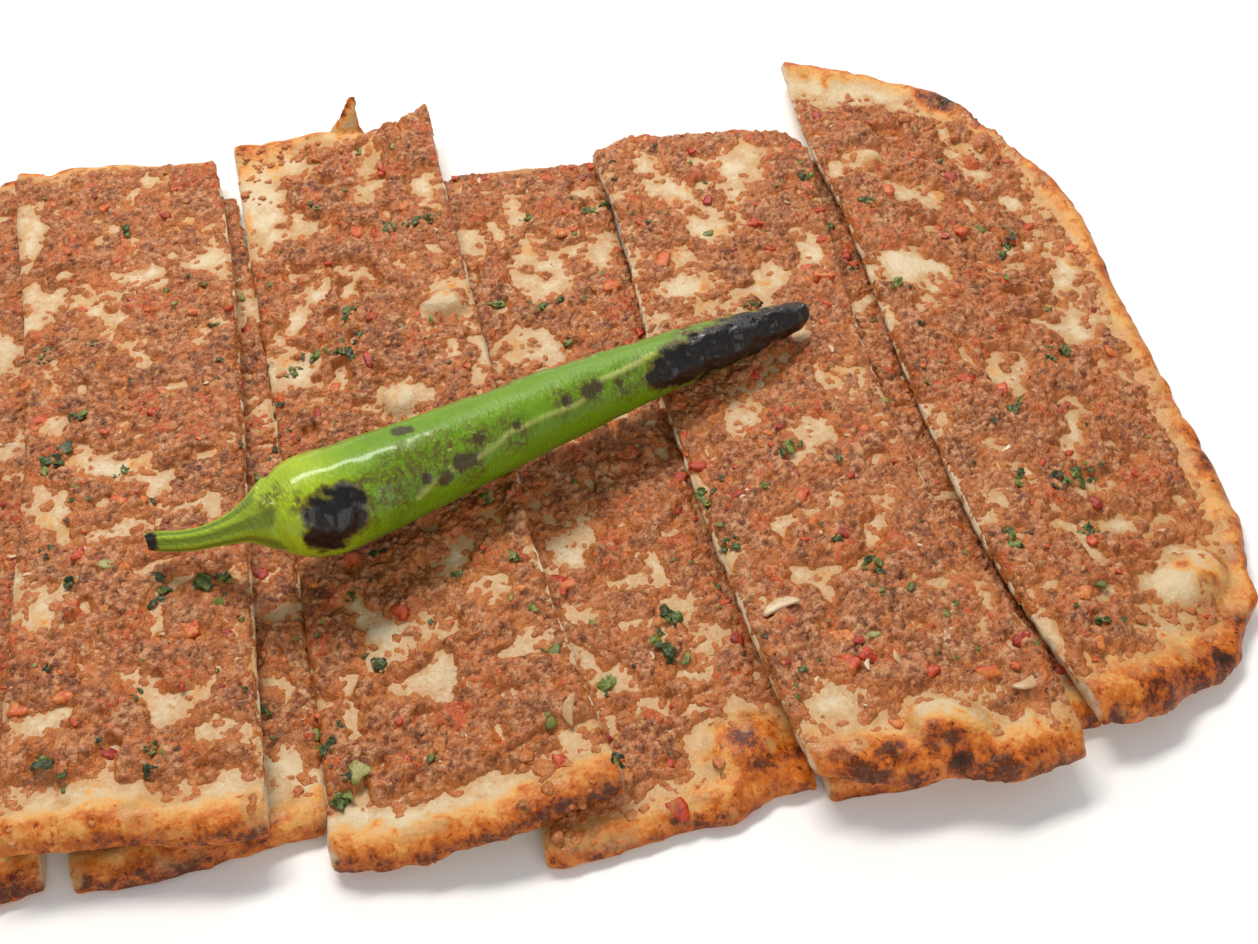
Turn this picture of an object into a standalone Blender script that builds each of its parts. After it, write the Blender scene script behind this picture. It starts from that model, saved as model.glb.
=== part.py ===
# A ground meat pide, cut across into eight slices that lie overlapped like roof tiles,
# with a charred green pepper on top. Slices 1, 3, 5 and 7 lie flat; 2, 4, 6 and 8 lie on them.
#
# Each slice is a bread node and a meat node. The pepper is one node.
# +X runs along the pide from slice 1 to slice 8, and +Y away from the viewer.
# The sizes below are millimetres; the finished meshes are scaled to metres at the end.

import math
import random

import bmesh
import bpy
import numpy as np
from mathutils import Matrix, Vector, noise
from mathutils.bvhtree import BVHTree

MM = 0.001  # one millimetre, in metres
GAP = 0.35  # air between two pieces that touch

# Bread
DOUGH = 3.7  # the flat middle of a slice
RIM_SWELL = 3.6  # what the baked rim rises above that
RIM_WIDTH = 16.0  # how far in from the edge the rim reaches
RIM_EDGE = 2.6  # thickness at the very edge of the rim
RIM_LIFT = 1.0  # how far the edge of the rim curls up from below
RIM_ROWS = (0.0, 2.5, 6.5, 12.0)  # distances from a baked edge that get a row of points
CUT_COLUMNS = 6  # cells across a slice
LONG_ROWS = 11  # cells along it between the two rims
EDGE_WANDER = 0.9  # how unevenly the baked edge runs
DOUGH_RELIEF = 0.3  # low unevenness of the dough's top
BUBBLE_SINK = 1.0  # how deep a bubble is rooted in the dough
DRAPE_GAP = 0.6  # air under a slice that lies on others
DRAPE_REACH = 0.68  # how far round a point it feels them, as a share of a cell's length
SAG_ROUNDS = 9  # how far its sag evens out
FEEL_RINGS = ((0.0, 1), (0.35, 7), (0.7, 14), (1.0, 24))  # share of the reach, points felt there

# The strip of crust that stands up and curls over at the far end of slice 4
HORN_BASE = (-24.2, 133.5)
HORN_RADIUS = 6.3
HORN_TIP = 1.6
HORN_HEIGHT = 13.0
HORN_ROOT = 1.9
HORN_FLATNESS = 0.4
HORN_STEP = 4.0  # longest piece of its side
HORN_CURL = (0.028, 0.03)

# Meat
MEAT = 2.1  # thickness of the layer
MEAT_EDGE = 1.2  # its thickness where it ends on the dough
CLUMP = 1.0  # height of the clumps in its top
CLUMP_LENGTH = 9.0  # their usual distance
CUT_MARGIN = 1.6  # dough left bare along a cut edge
RIM_MARGIN = 15.5  # dough left bare along a full baked rim
MARGIN_WANDER = 3.2  # how unevenly the meat ends there
MEAT_REACH = 0.62  # how far round a point it feels the bread, as a share of a cell's length
MEAT_COLUMNS = 7
MEAT_ROWS = 15
HOLE_SIDES = 7  # sides of the outline of a bare patch
HOLE_CLEAR = 0.6  # air round a bubble
HOLE_WANDER = 0.3  # how unevenly it runs, as a share of its size

# Small toppings pressed into the meat: length, width, height and how deep each one sits
PARSLEY = (8.5, 5.0, 1.3, 0.7)
TOMATO = (5.0, 4.2, 2.2, 1.2)
ONION = (13.0, 5.0, 1.8, 1.0)
TOPPINGS_PER_SLICE = 6
TOPPING_SPACING = 21.0

# Pepper: point on its axis (x, y), radius there, and how far the axis sinks below a straight line
PEPPER_SPINE = (
    (-93.0, -33.0, 2.3, 12.0),
    (-88.0, -36.0, 2.6, 10.5),
    (-80.0, -39.0, 2.7, 7.5),
    (-72.0, -40.5, 3.3, 4.0),
    (-65.5, -40.0, 5.6, 1.8),
    (-60.0, -40.0, 10.0, 0.5),
    (-54.5, -40.0, 13.2, 0.0),
    (-47.0, -39.5, 14.2, 0.0),
    (-35.0, -35.5, 13.7, 0.0),
    (-19.0, -29.8, 12.7, 0.0),
    (-3.0, -23.7, 11.7, 0.0),
    (14.0, -17.6, 10.7, 0.0),
    (32.0, -11.2, 9.6, 0.0),
    (48.0, -6.3, 8.6, 0.0),
    (62.0, -2.3, 7.6, 0.0),
    (76.0, 1.6, 6.4, 0.0),
    (85.0, 4.4, 5.2, 0.0),
    (92.0, 6.7, 3.9, 0.0),
    (96.0, 8.0, 2.4, 0.0),
)
PEPPER_SIDES = 14
PEPPER_LOBES = 3  # shallow grooves along the fruit
PEPPER_LOBE_DEPTH = 0.06  # their depth, as a share of the radius
STEM_POINTS = 5  # how many spine points belong to the stem
PEPPER_ACROSS = (-0.33, 0.94)  # direction across it, seen from above
BALANCE_X = -12.0  # the pepper's weight is about here, between its two contacts

BREAD_COLOUR = (0.79, 0.55, 0.30)
MEAT_COLOUR = (0.42, 0.15, 0.075)
PEPPER_COLOUR = (0.13, 0.35, 0.025)

# The slices. Each side is a list of points from its start to its end: "left" and "right" run
# from bottom to top, "bottom" and "top" from left to right. "baked" names the sides that are
# the pide's own rim; the others were cut. "on" names the slices underneath, "over" those on top.
# "margins" says how much dough the meat leaves bare along a baked side, evenly spaced values
# from its start to its end. A bare patch or bubble is (x, y, half length, half width, turn in
# degrees), and a bubble ends with its height. A lift is (x, y, reach, height) where the bread
# curls up.
SLICES = {
    1: {
        "left": ((-181, -101), (-191, -62), (-197, -5), (-195, 50), (-180, 96)),
        "right": ((-122.5, -114.5), (-122.5, 10), (-122.5, 143)),
        "bottom": ((-181, -101), (-168, -113), (-150, -117), (-135, -115.5), (-122.5, -114.5)),
        "top": ((-180, 96), (-166, 114), (-150, 130), (-136, 141), (-122.5, 143)),
        "baked": ("left", "bottom", "top"),
        "margins": {"top": (12.0, 8.0)},
        "on": (),
        "over": (2,),
        "bare": (
            (-135, 59, 12, 5, -87),
            (-158, -44, 13, 7, 40),
            (-170, 22, 12, 7, 100),
            (-150, 84, 11, 7, 20),
        ),
        "bubbles": ((-176, -78, 12, 9, 60, 3.5),),
        "lifts": (),
    },
    2: {
        "left": ((-130.5, -109), (-128.5, -50), (-125.5, 15), (-126, 55), (-128, 95), (-129, 135)),
        "right": ((-71, -118), (-70.5, -75), (-68.5, -20), (-66.5, 30), (-65.5, 80), (-67, 128)),
        "bottom": ((-130.5, -109), (-104, -113), (-88, -116.5), (-71, -118)),
        "top": ((-129, 135), (-121, 132.5), (-115, 134.5), (-90, 131.5), (-67, 128)),
        "baked": ("bottom", "top"),
        "margins": {"top": (12.0, 7.0, 2.5)},
        "on": (1, 3),
        "over": (),
        "bare": (
            (-103, 62, 17, 6, -70),
            (-74, 81, 9, 5, -59),
            (-119, -13, 12, 5, -59),
            (-78, -89, 7, 4, -20),
            (-121, -78, 8, 4, -9),
            (-93, -9, 7, 4, -35),
        ),
        "bubbles": (),
        "lifts": (),
    },
    3: {
        "left": ((-116, -117), (-116, 0), (-115, 116)),
        "right": ((-59.1, -116), (-58, -90), (-58.6, -30), (-59.2, 30), (-60.6, 80), (-62.8, 117)),
        "bottom": ((-116, -117), (-108, -118.5), (-96, -118), (-78, -116.5), (-59.1, -116)),
        "top": ((-115, 116), (-90, 118), (-62.8, 117)),
        "baked": ("bottom", "top"),
        "margins": {"top": (3.0,), "bottom": (14.0,)},
        "on": (),
        "over": (2,),
        "bare": ((-65, -95, 8, 6, -43), (-90, 40, 12, 7, 70), (-90, -45, 12, 7, 110)),
        "bubbles": (),
        "lifts": (),
    },
    4: {
        "left": ((-58.6, -125), (-57.6, -90), (-58.2, -30), (-58.8, 30), (-60.2, 80), (-61, 141)),
        "right": ((9.5, -125.5), (6, -95), (3, -59), (3, -31), (3.5, 20), (3, 66), (3, 99), (3.5, 136.5)),
        "bottom": ((-58.6, -125), (-49, -129), (-30, -130), (-11, -129), (9.5, -125.5)),
        "top": ((-61, 141), (-49, 140), (-34, 139.5), (-20, 134), (-9, 132.5), (3.5, 136.5)),
        "baked": ("bottom", "top"),
        "margins": {"top": (28.0, 19.0, 5.0, 2.5)},
        "on": (5,),
        "over": (),
        "bare": (
            (-54, 103, 20, 6, 86),
            (-21, 105, 10, 5, 84),
            (-45, 59, 13, 5, 64),
            (-52, 30, 8, 7, -73),
            (-19, -51, 8, 6, 20),
            (-34, -69, 11, 5, 27),
            (-33, -86, 8, 4, 5),
        ),
        "bubbles": ((-5, 43, 7.5, 6.5, -22, 4.0), (-23, 9, 7, 6, 89, 3.0)),
        "lifts": ((4, 137, 36, 11.0), (-26, 137, 20, 3.0)),
    },
    5: {
        "left": ((-11, -135.7), (-11, 0), (-11, 109)),
        "right": ((55, -131), (52.5, 0), (54.5, 106.5)),
        "bottom": ((-11, -135.7), (3, -137.5), (15, -134.8), (33, -134.5), (43, -131.5), (55, -131)),
        "top": ((-11, 109), (19, 109.5), (38, 108.5), (54.5, 106.5)),
        "baked": ("bottom", "top"),
        "margins": {"top": (2.5,), "bottom": (11.0,)},
        "on": (),
        "over": (4, 6),
        "bare": (
            (22, 86, 8, 5, 81),
            (27, 59, 13, 9, 81),
            (17, 25, 11, 7, -18),
            (17, -43, 7, 6, -20),
            (17, -84, 11, 5, -57),
            (39, -78, 7, 5, 73),
        ),
        "bubbles": ((40, -117, 11, 10, 26, 4.5),),
        "lifts": (),
    },
    6: {
        "left": ((52.5, -131.5), (50, -93), (48.5, -45), (48.5, -5), (51, 30), (53.5, 75), (52.5, 101)),
        "right": ((116, -141.5), (117, -110), (113, -90), (108.5, -59), (109, -7), (114, 40), (121, 87.5)),
        "bottom": ((52.5, -131.5), (65, -137.5), (80, -139.5), (95, -143), (105, -143.5), (116, -141.5)),
        "top": ((52.5, 101), (58.5, 107.5), (69, 108.5), (86, 106.5), (108, 101.5), (117, 97), (121, 87.5)),
        "baked": ("bottom", "top"),
        "margins": {"top": (3.0,), "bottom": (10.0, 16.0, 12.0)},
        "on": (5, 7),
        "over": (),
        "bare": (
            (95, 79, 13, 6, 73),
            (71, 70, 12, 5, -60),
            (66, 28, 11, 8, 70),
            (107, 35, 11, 5, 71),
            (80, -2, 7, 5, -12),
            (97, -14, 7, 5, 17),
            (64, -112, 9, 7, 58),
        ),
        "bubbles": ((86, -128, 11, 8, -7, 4.0),),
        "lifts": (),
    },
    7: {
        "left": ((56.5, -134.5), (54, 0), (56.5, 92)),
        "right": ((127, -130), (127, 0), (126, 90)),
        "bottom": ((56.5, -134.5), (62, -136), (90, -134), (118, -131.5), (127, -130)),
        "top": ((56.5, 92), (90, 94), (126, 90)),
        "baked": ("bottom", "top"),
        "margins": {"top": (3.0,)},
        "on": (),
        "over": (6, 8),
        "bare": ((113, 62, 8, 4, 60), (90, 20, 12, 7, 70), (88, -70, 12, 7, 110)),
        "bubbles": (),
        "lifts": (),
    },
    8: {
        "left": ((124, -134), (119.5, -108), (116.5, -75), (117.5, -36), (119.5, 5), (123.5, 50),
                 (122.5, 85), (125.5, 118), (128, 137)),
        "right": ((180, -106), (189.5, -79), (192.3, -38), (196, 10), (199, 40), (195, 68), (185, 92)),
        "bottom": ((124, -134), (131, -136.5), (146, -131), (165, -124.5), (180, -106)),
        "top": ((128, 137), (148, 132.5), (165.5, 122.5), (179, 108.5), (185, 92)),
        "baked": ("right", "bottom", "top"),
        "margins": {"top": (22.0,), "right": (15.0, 11.0, 18.0)},
        "on": (7,),
        "over": (),
        "bare": (
            (148, 62, 9, 6, -7),
            (133, 27, 12, 8, -31),
            (175, 74, 11, 7, 87),
            (180, 30, 17, 6, 82),
            (155, -43, 10, 5, 53),
            (156, -66, 8, 5, -30),
            (149, -110, 8, 4, -8),
        ),
        "bubbles": ((138, 79, 6, 5, -5, 2.5), (166, -98, 12, 9, 26, 5.0)),
        "lifts": ((128, 137, 30, 5.0),),
    },
}


class Line:
    """A smooth line through a few points, read by the share of its length."""

    def __init__(self, points):
        self.points = np.array(points, float)
        steps = np.linalg.norm(np.diff(self.points, axis=0), axis=1)
        self.length = steps.sum()
        self.shares = np.concatenate(([0.0], np.cumsum(steps))) / self.length

    def at(self, share):
        points, shares = self.points, self.shares
        index = int(np.clip(np.searchsorted(shares, share, side="right") - 1, 0, len(points) - 2))
        step = shares[index + 1] - shares[index]
        t = (share - shares[index]) / step
        start, end = points[index], points[index + 1]
        slope_in = self.slope(index) * step
        slope_out = self.slope(index + 1) * step
        return (
            (2 * t**3 - 3 * t**2 + 1) * start
            + (t**3 - 2 * t**2 + t) * slope_in
            + (3 * t**2 - 2 * t**3) * end
            + (t**3 - t**2) * slope_out
        )

    def slope(self, index):
        before = max(index - 1, 0)
        after = min(index + 1, len(self.points) - 1)
        return (self.points[after] - self.points[before]) / (self.shares[after] - self.shares[before])


def wobble(x, y, length, seed=0.0):
    """Smooth noise from -1 to 1 whose bumps are about this length apart."""
    return noise.noise(Vector((x / length, y / length, 7.3 * seed)))


class Slice:
    """The outline of one slice, and the thickness of its bread at any place."""

    def __init__(self, number, form):
        self.number = number
        self.form = form
        self.sides = {name: Line(form[name]) for name in ("left", "right", "bottom", "top")}
        self.width = (self.sides["bottom"].length + self.sides["top"].length) / 2
        self.length = (self.sides["left"].length + self.sides["right"].length) / 2

    def place(self, u, v):
        """Plan position at a share u across and v along the slice."""
        left, right = self.sides["left"].at(v), self.sides["right"].at(v)
        bottom, top = self.sides["bottom"].at(u), self.sides["top"].at(u)
        corners = (
            (1 - u) * (1 - v) * self.sides["left"].at(0)
            + u * (1 - v) * self.sides["right"].at(0)
            + (1 - u) * v * self.sides["left"].at(1)
            + u * v * self.sides["right"].at(1)
        )
        spot = (1 - v) * bottom + v * top + (1 - u) * left + u * right - corners
        return spot + self.wander(u, v, spot)

    def wander(self, u, v, spot):
        """Small unevenness of the baked sides, fading out within the rim."""
        shift = np.zeros(2)
        inward = {"left": (u * self.width, 0, -1), "right": ((1 - u) * self.width, 0, 1),
                  "bottom": (v * self.length, 1, -1), "top": ((1 - v) * self.length, 1, 1)}
        for side in self.form["baked"]:
            distance, axis, sign = inward[side]
            fade = max(0.0, 1 - distance / RIM_WIDTH)
            shift[axis] += sign * fade * EDGE_WANDER * wobble(spot[0], spot[1], 11, self.number)
        return shift

    def rim_distances(self, u, v):
        """Distance to each baked side."""
        distances = {"left": u * self.width, "right": (1 - u) * self.width,
                     "bottom": v * self.length, "top": (1 - v) * self.length}
        return {side: distances[side] for side in self.form["baked"]}

    def margin(self, side, u, v):
        """Dough that the meat leaves bare along this side."""
        if side not in self.form["baked"]:
            return CUT_MARGIN
        values = self.form["margins"].get(side, (RIM_MARGIN,))
        share = u if side in ("bottom", "top") else v
        return float(np.interp(share, np.linspace(0, 1, len(values)), values))

    def shares(self, first, second, size, cells):
        """Grid lines between two sides: close together along a baked one."""
        start = [d / size for d in RIM_ROWS] if first in self.form["baked"] else [0.0]
        end = [1 - d / size for d in RIM_ROWS[::-1]] if second in self.form["baked"] else [1.0]
        middle = np.linspace(start[-1], end[0], cells + 1)[1:-1]
        return [*start, *middle, *end]

    def across(self):
        return self.shares("left", "right", self.width, CUT_COLUMNS)

    def along(self):
        return self.shares("bottom", "top", self.length, LONG_ROWS)

    def lift(self, x, y):
        """Height by which the bread curls up at its raised corners."""
        total = 0.0
        for centre_x, centre_y, reach, height in self.form["lifts"]:
            nearness = max(0.0, 1 - math.dist((x, y), (centre_x, centre_y)) / reach)
            total += height * nearness**1.5
        return total

    def thickness(self, u, v, x, y):
        """Thickness of the bread without its bubbles."""
        distances = self.rim_distances(u, v)
        swell = 0.0
        for side, distance in distances.items():
            share = min(distance / RIM_WIDTH, 1.0)
            bare = min(self.margin(side, u, v) / RIM_MARGIN, 1.0)
            swell = max(swell, 6.75 * bare * share * (1 - share) ** 2)  # 1 at a third of the rim
        swell *= 0.85 + 0.6 * wobble(x, y, 26, self.number + 3)
        edge = (DOUGH - RIM_EDGE) * math.exp(-((min(distances.values()) / 3) ** 2))
        return DOUGH + RIM_SWELL * swell - edge + DOUGH_RELIEF * wobble(x, y, 14, self.number)

    def rim_lift(self, u, v):
        return RIM_LIFT * math.exp(-((min(self.rim_distances(u, v).values()) / 4) ** 2))

    def outline(self):
        """Corner points of the slice's edge, for telling what lies under it."""
        steps = np.linspace(0, 1, 13)
        ring = [self.place(0, v) for v in steps] + [self.place(u, 1) for u in steps]
        ring += [self.place(1, v) for v in steps[::-1]] + [self.place(u, 0) for u in steps[::-1]]
        return np.array(ring)


def is_inside(ring, x, y):
    """Whether a plan point lies inside a closed outline."""
    following = np.roll(ring, -1, axis=0)
    crosses = (ring[:, 1] > y) != (following[:, 1] > y)
    rise = np.where(crosses, following[:, 1] - ring[:, 1], 1.0)
    crossing = ring[:, 0] + (y - ring[:, 1]) / rise * (following[:, 0] - ring[:, 0])
    return bool(np.count_nonzero(crosses & (x < crossing)) % 2)


def in_ellipse(patch, x, y, grow=0.0):
    centre_x, centre_y, half_length, half_width, turn = patch[:5]
    angle = math.radians(turn)
    along = (x - centre_x) * math.cos(angle) + (y - centre_y) * math.sin(angle)
    across = (y - centre_y) * math.cos(angle) - (x - centre_x) * math.sin(angle)
    return (along / (half_length + grow)) ** 2 + (across / (half_width + grow)) ** 2 < 1


def surface_height(trees, x, y):
    """Height of the topmost surface at a plan point, or None beside every piece."""
    heights = []
    for tree in trees:
        hit = tree.ray_cast(Vector((x, y, 100.0)), Vector((0, 0, -1)))[0]
        if hit is not None:
            heights.append(hit.z)
    return max(heights, default=None)


def highest_near(trees, x, y, reach, skip=()):
    """Highest surface within this reach, leaving out places inside the skipped ellipses."""
    heights = []
    for ring, count in FEEL_RINGS:
        for step in range(count):
            angle = math.tau * step / count
            spot_x = x + ring * reach * math.cos(angle)
            spot_y = y + ring * reach * math.sin(angle)
            if any(in_ellipse(patch, spot_x, spot_y) for patch in skip):
                continue
            height = surface_height(trees, spot_x, spot_y)
            if height is not None:
                heights.append(height)
    return max(heights, default=0.0)


def settle(needed, rounds):
    """Lets a sheet sag onto what holds it up, a little stiffly."""
    height = needed.copy()
    for _ in range(rounds):
        padded = np.pad(height, 1, mode="edge")
        around = padded[:-2, 1:-1] + padded[2:, 1:-1] + padded[1:-1, :-2] + padded[1:-1, 2:]
        height = np.maximum(needed, around / 4)
    return height


def sheet_solid(lower, upper):
    """A closed sheet between two grids of points with the same rows and columns."""
    rows, columns = lower.shape[:2]
    bm = bmesh.new()
    bmesh.ops.create_grid(bm, x_segments=columns - 1, y_segments=rows - 1, size=0.5)
    grid_index = {}
    for vert in bm.verts:
        row = round((vert.co.y + 0.5) * (rows - 1))
        column = round((vert.co.x + 0.5) * (columns - 1))
        grid_index[vert] = row, column
    doubled = bmesh.ops.extrude_face_region(bm, geom=bm.faces[:])
    raised = [item for item in doubled["geom"] if isinstance(item, bmesh.types.BMVert)]
    for vert in raised:
        row = round((vert.co.y + 0.5) * (rows - 1))
        column = round((vert.co.x + 0.5) * (columns - 1))
        vert.co = Vector(upper[row, column])
    for vert, (row, column) in grid_index.items():
        vert.co = Vector(lower[row, column])
    bmesh.ops.recalc_face_normals(bm, faces=bm.faces[:])
    bmesh.ops.triangulate(bm, faces=bm.faces[:])
    return bm


def add_object(name, bm, collection):
    mesh = bpy.data.meshes.new(name)
    bm.to_mesh(mesh)
    bm.free()
    obj = bpy.data.objects.new(name, mesh)
    collection.objects.link(obj)
    return obj


def remove_objects(objects):
    for obj in objects:
        mesh = obj.data
        bpy.data.objects.remove(obj)
        bpy.data.meshes.remove(mesh)


def combine(target, tools, operation, solver="EXACT"):
    """Cuts the tools out of the target or joins them to it, and removes them."""
    modifier = target.modifiers.new("combine", "BOOLEAN")
    modifier.operation = operation
    modifier.operand_type = "COLLECTION"
    modifier.collection = tools
    modifier.solver = solver
    depsgraph = bpy.context.evaluated_depsgraph_get()
    mesh = bpy.data.meshes.new_from_object(target.evaluated_get(depsgraph))
    target.modifiers.clear()
    before = target.data
    target.data = mesh
    bpy.data.meshes.remove(before)
    remove_objects(list(tools.objects))


def keep_largest(obj):
    """Drops loose scraps that a cut leaves, and welds slivers."""
    bm = bmesh.new()
    bm.from_mesh(obj.data)
    bmesh.ops.remove_doubles(bm, verts=bm.verts[:], dist=0.02)
    bmesh.ops.dissolve_degenerate(bm, dist=0.01, edges=bm.edges[:])
    bmesh.ops.triangulate(bm, faces=bm.faces[:])
    pieces, seen = [], set()
    for first in bm.verts:
        if first in seen:
            continue
        piece, waiting = {first}, [first]
        while waiting:
            for edge in waiting.pop().link_edges:
                for vert in edge.verts:
                    if vert not in piece:
                        piece.add(vert)
                        waiting.append(vert)
        seen |= piece
        pieces.append(piece)
    largest = max(pieces, key=len)
    bmesh.ops.delete(bm, geom=[vert for vert in bm.verts if vert not in largest], context="VERTS")
    bm.to_mesh(obj.data)
    bm.free()


def tree_of(obj):
    bm = bmesh.new()
    bm.from_mesh(obj.data)
    tree = BVHTree.FromBMesh(bm)
    bm.free()
    return tree


def bread_heights(part, below):
    """Grid of plan points and heights of a slice's underside, at rest on what is below it."""
    across, along = part.across(), part.along()
    spots = np.array([[part.place(u, v) for u in across] for v in along])
    needed = np.zeros(spots.shape[:2])
    if below:
        reach = DRAPE_REACH * part.length / LONG_ROWS
        for index in np.ndindex(needed.shape):
            needed[index] = highest_near(below, *spots[index], reach) + DRAPE_GAP
        needed[needed <= DRAPE_GAP] = 0.0
        needed = settle(needed, SAG_ROUNDS)
    for index in np.ndindex(needed.shape):
        needed[index] += part.lift(*spots[index])
    return across, along, spots, needed


def make_bread(part, below, collection):
    across, along, spots, rest = bread_heights(part, below)
    lower = np.dstack((spots, rest))
    upper = lower.copy()
    for row, v in enumerate(along):
        for column, u in enumerate(across):
            x, y = spots[row, column]
            upper[row, column, 2] += part.thickness(u, v, x, y)
            lower[row, column, 2] += part.rim_lift(u, v)
    return add_object(f"slice_{part.number}_bread", sheet_solid(lower, upper), collection)


def make_bubbles(part, bread, tools):
    """Blisters of dough, standing on the bread."""
    tree = tree_of(bread)
    for x, y, half_length, half_width, turn, height in part.form["bubbles"]:
        ground = surface_height([tree], x, y)
        bm = bmesh.new()
        bmesh.ops.create_uvsphere(bm, u_segments=9, v_segments=6, radius=1.0)
        for vert in bm.verts:
            vert.co.z *= height + BUBBLE_SINK if vert.co.z > 0 else BUBBLE_SINK
        size = Matrix.Diagonal((half_length, half_width, 1, 1))
        turned = Matrix.Rotation(math.radians(turn), 4, "Z") @ size
        bm.transform(Matrix.Translation((x, y, ground - BUBBLE_SINK)) @ turned)
        add_object("bubble", bm, tools)


def make_horn(bread, tools):
    """The strip of crust that stands up and curls over at the far end of a slice."""
    ground = surface_height([tree_of(bread)], *HORN_BASE)
    bm = bmesh.new()
    bmesh.ops.create_cone(bm, cap_ends=True, segments=8, radius1=HORN_RADIUS, radius2=HORN_TIP,
                          depth=HORN_HEIGHT)
    for _ in range(2):
        upright = [e for e in bm.edges if abs(e.verts[0].co.z - e.verts[1].co.z) > HORN_STEP]
        bmesh.ops.subdivide_edges(bm, edges=upright, cuts=1)
    for vert in bm.verts:
        rise = vert.co.z + HORN_HEIGHT / 2
        vert.co.y *= HORN_FLATNESS
        vert.co.x += HORN_CURL[0] * rise**2
        vert.co.y += HORN_CURL[1] * rise**2
    bm.transform(Matrix.Translation((*HORN_BASE, ground + HORN_HEIGHT / 2 - HORN_ROOT)))
    bmesh.ops.recalc_face_normals(bm, faces=bm.faces[:])
    add_object("horn", bm, tools)


def meat_margin(part, side, u, v, spot):
    """Bare dough between the meat and this side of the slice, unevenly wide."""
    bare = part.margin(side, u, v)
    if side in part.form["baked"]:
        return bare + min(MARGIN_WANDER, bare / 2) * wobble(*spot, 22, part.number + 9)
    return bare * (1 + wobble(*spot, 30, part.number + 5))


def make_meat(part, bread_tree, bubbles, collection):
    """The meat layer as a sheet on the bread, before its holes are cut."""
    rows, columns = MEAT_ROWS + 1, MEAT_COLUMNS + 1
    lower = np.zeros((rows, columns, 3))
    upper = np.zeros((rows, columns, 3))
    reach = MEAT_REACH * max(part.width / MEAT_COLUMNS, part.length / MEAT_ROWS)
    for row, column in np.ndindex(rows, columns):
        v, u = row / MEAT_ROWS, column / MEAT_COLUMNS
        spot = part.place(u, v)
        left, right = (meat_margin(part, side, u, v, spot) / part.width for side in ("left", "right"))
        bottom, top = (meat_margin(part, side, u, v, spot) / part.length for side in ("bottom", "top"))
        x, y = part.place(left + u * (1 - left - right), bottom + v * (1 - bottom - top))
        base = highest_near([bread_tree], x, y, reach, skip=bubbles) + GAP
        is_edge = row in (0, MEAT_ROWS) or column in (0, MEAT_COLUMNS)
        depth = MEAT_EDGE if is_edge else MEAT
        clump = CLUMP * wobble(x, y, CLUMP_LENGTH, part.number + 20)
        lower[row, column] = x, y, base
        upper[row, column] = x, y, base + depth + clump
    return add_object(f"slice_{part.number}_meat", sheet_solid(lower, upper), collection)


def make_holes(patches, seed, tools):
    """Upright cutters with uneven outlines, where the dough shows through the meat."""
    for x, y, half_length, half_width, turn in patches:
        bm = bmesh.new()
        bmesh.ops.create_cone(bm, cap_ends=True, segments=HOLE_SIDES, radius1=1, radius2=1, depth=80)
        for vert in bm.verts:
            uneven = max(0.0, wobble(7 * vert.co.x + x, 7 * vert.co.y + y, 5, seed))
            grow = (1 + HOLE_WANDER * uneven) / math.cos(math.pi / HOLE_SIDES)
            vert.co.x *= grow * half_length
            vert.co.y *= grow * half_width
        bm.transform(Matrix.Translation((x, y, 0)) @ Matrix.Rotation(math.radians(turn), 4, "Z"))
        add_object("hole", bm, tools)


def leaf_piece(size):
    """A scrap of chopped parsley: a low, wavy, five-sided plate."""
    length, width, height, _ = size
    bm = bmesh.new()
    bmesh.ops.create_cone(bm, cap_ends=True, cap_tris=True, segments=5, radius1=0.5, radius2=0.42,
                          depth=1)
    for vert in bm.verts:
        angle = math.atan2(vert.co.y, vert.co.x)
        ragged = 1 + 0.25 * math.sin(2 * angle + 1)
        vert.co = Vector((vert.co.x * length * ragged, vert.co.y * width * ragged,
                          vert.co.z * height + 0.2 * math.sin(3 * angle)))
    return bm


def dice_piece(size):
    """A small wedge of tomato."""
    length, width, height, _ = size
    bm = bmesh.new()
    bmesh.ops.create_cone(bm, cap_ends=True, segments=5, radius1=0.5, radius2=0.34, depth=1)
    bm.transform(Matrix.Diagonal((length, width, height, 1)))
    return bm


def onion_piece(size):
    """A curved sliver of onion."""
    length, width, height, _ = size
    bm = bmesh.new()
    bmesh.ops.create_grid(bm, x_segments=3, y_segments=1, size=0.5)
    doubled = bmesh.ops.extrude_face_region(bm, geom=bm.faces[:])
    for item in doubled["geom"]:
        if isinstance(item, bmesh.types.BMVert):
            item.co.z = 1.0
    for vert in bm.verts:
        taper = 1 - 1.6 * vert.co.x**2
        bend = 1.4 * (0.25 - vert.co.x**2)
        vert.co = Vector((vert.co.x * length, (vert.co.y * taper + bend) * width,
                          (vert.co.z - 0.5) * height * taper))
    bmesh.ops.recalc_face_normals(bm, faces=bm.faces[:])
    return bm


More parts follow.
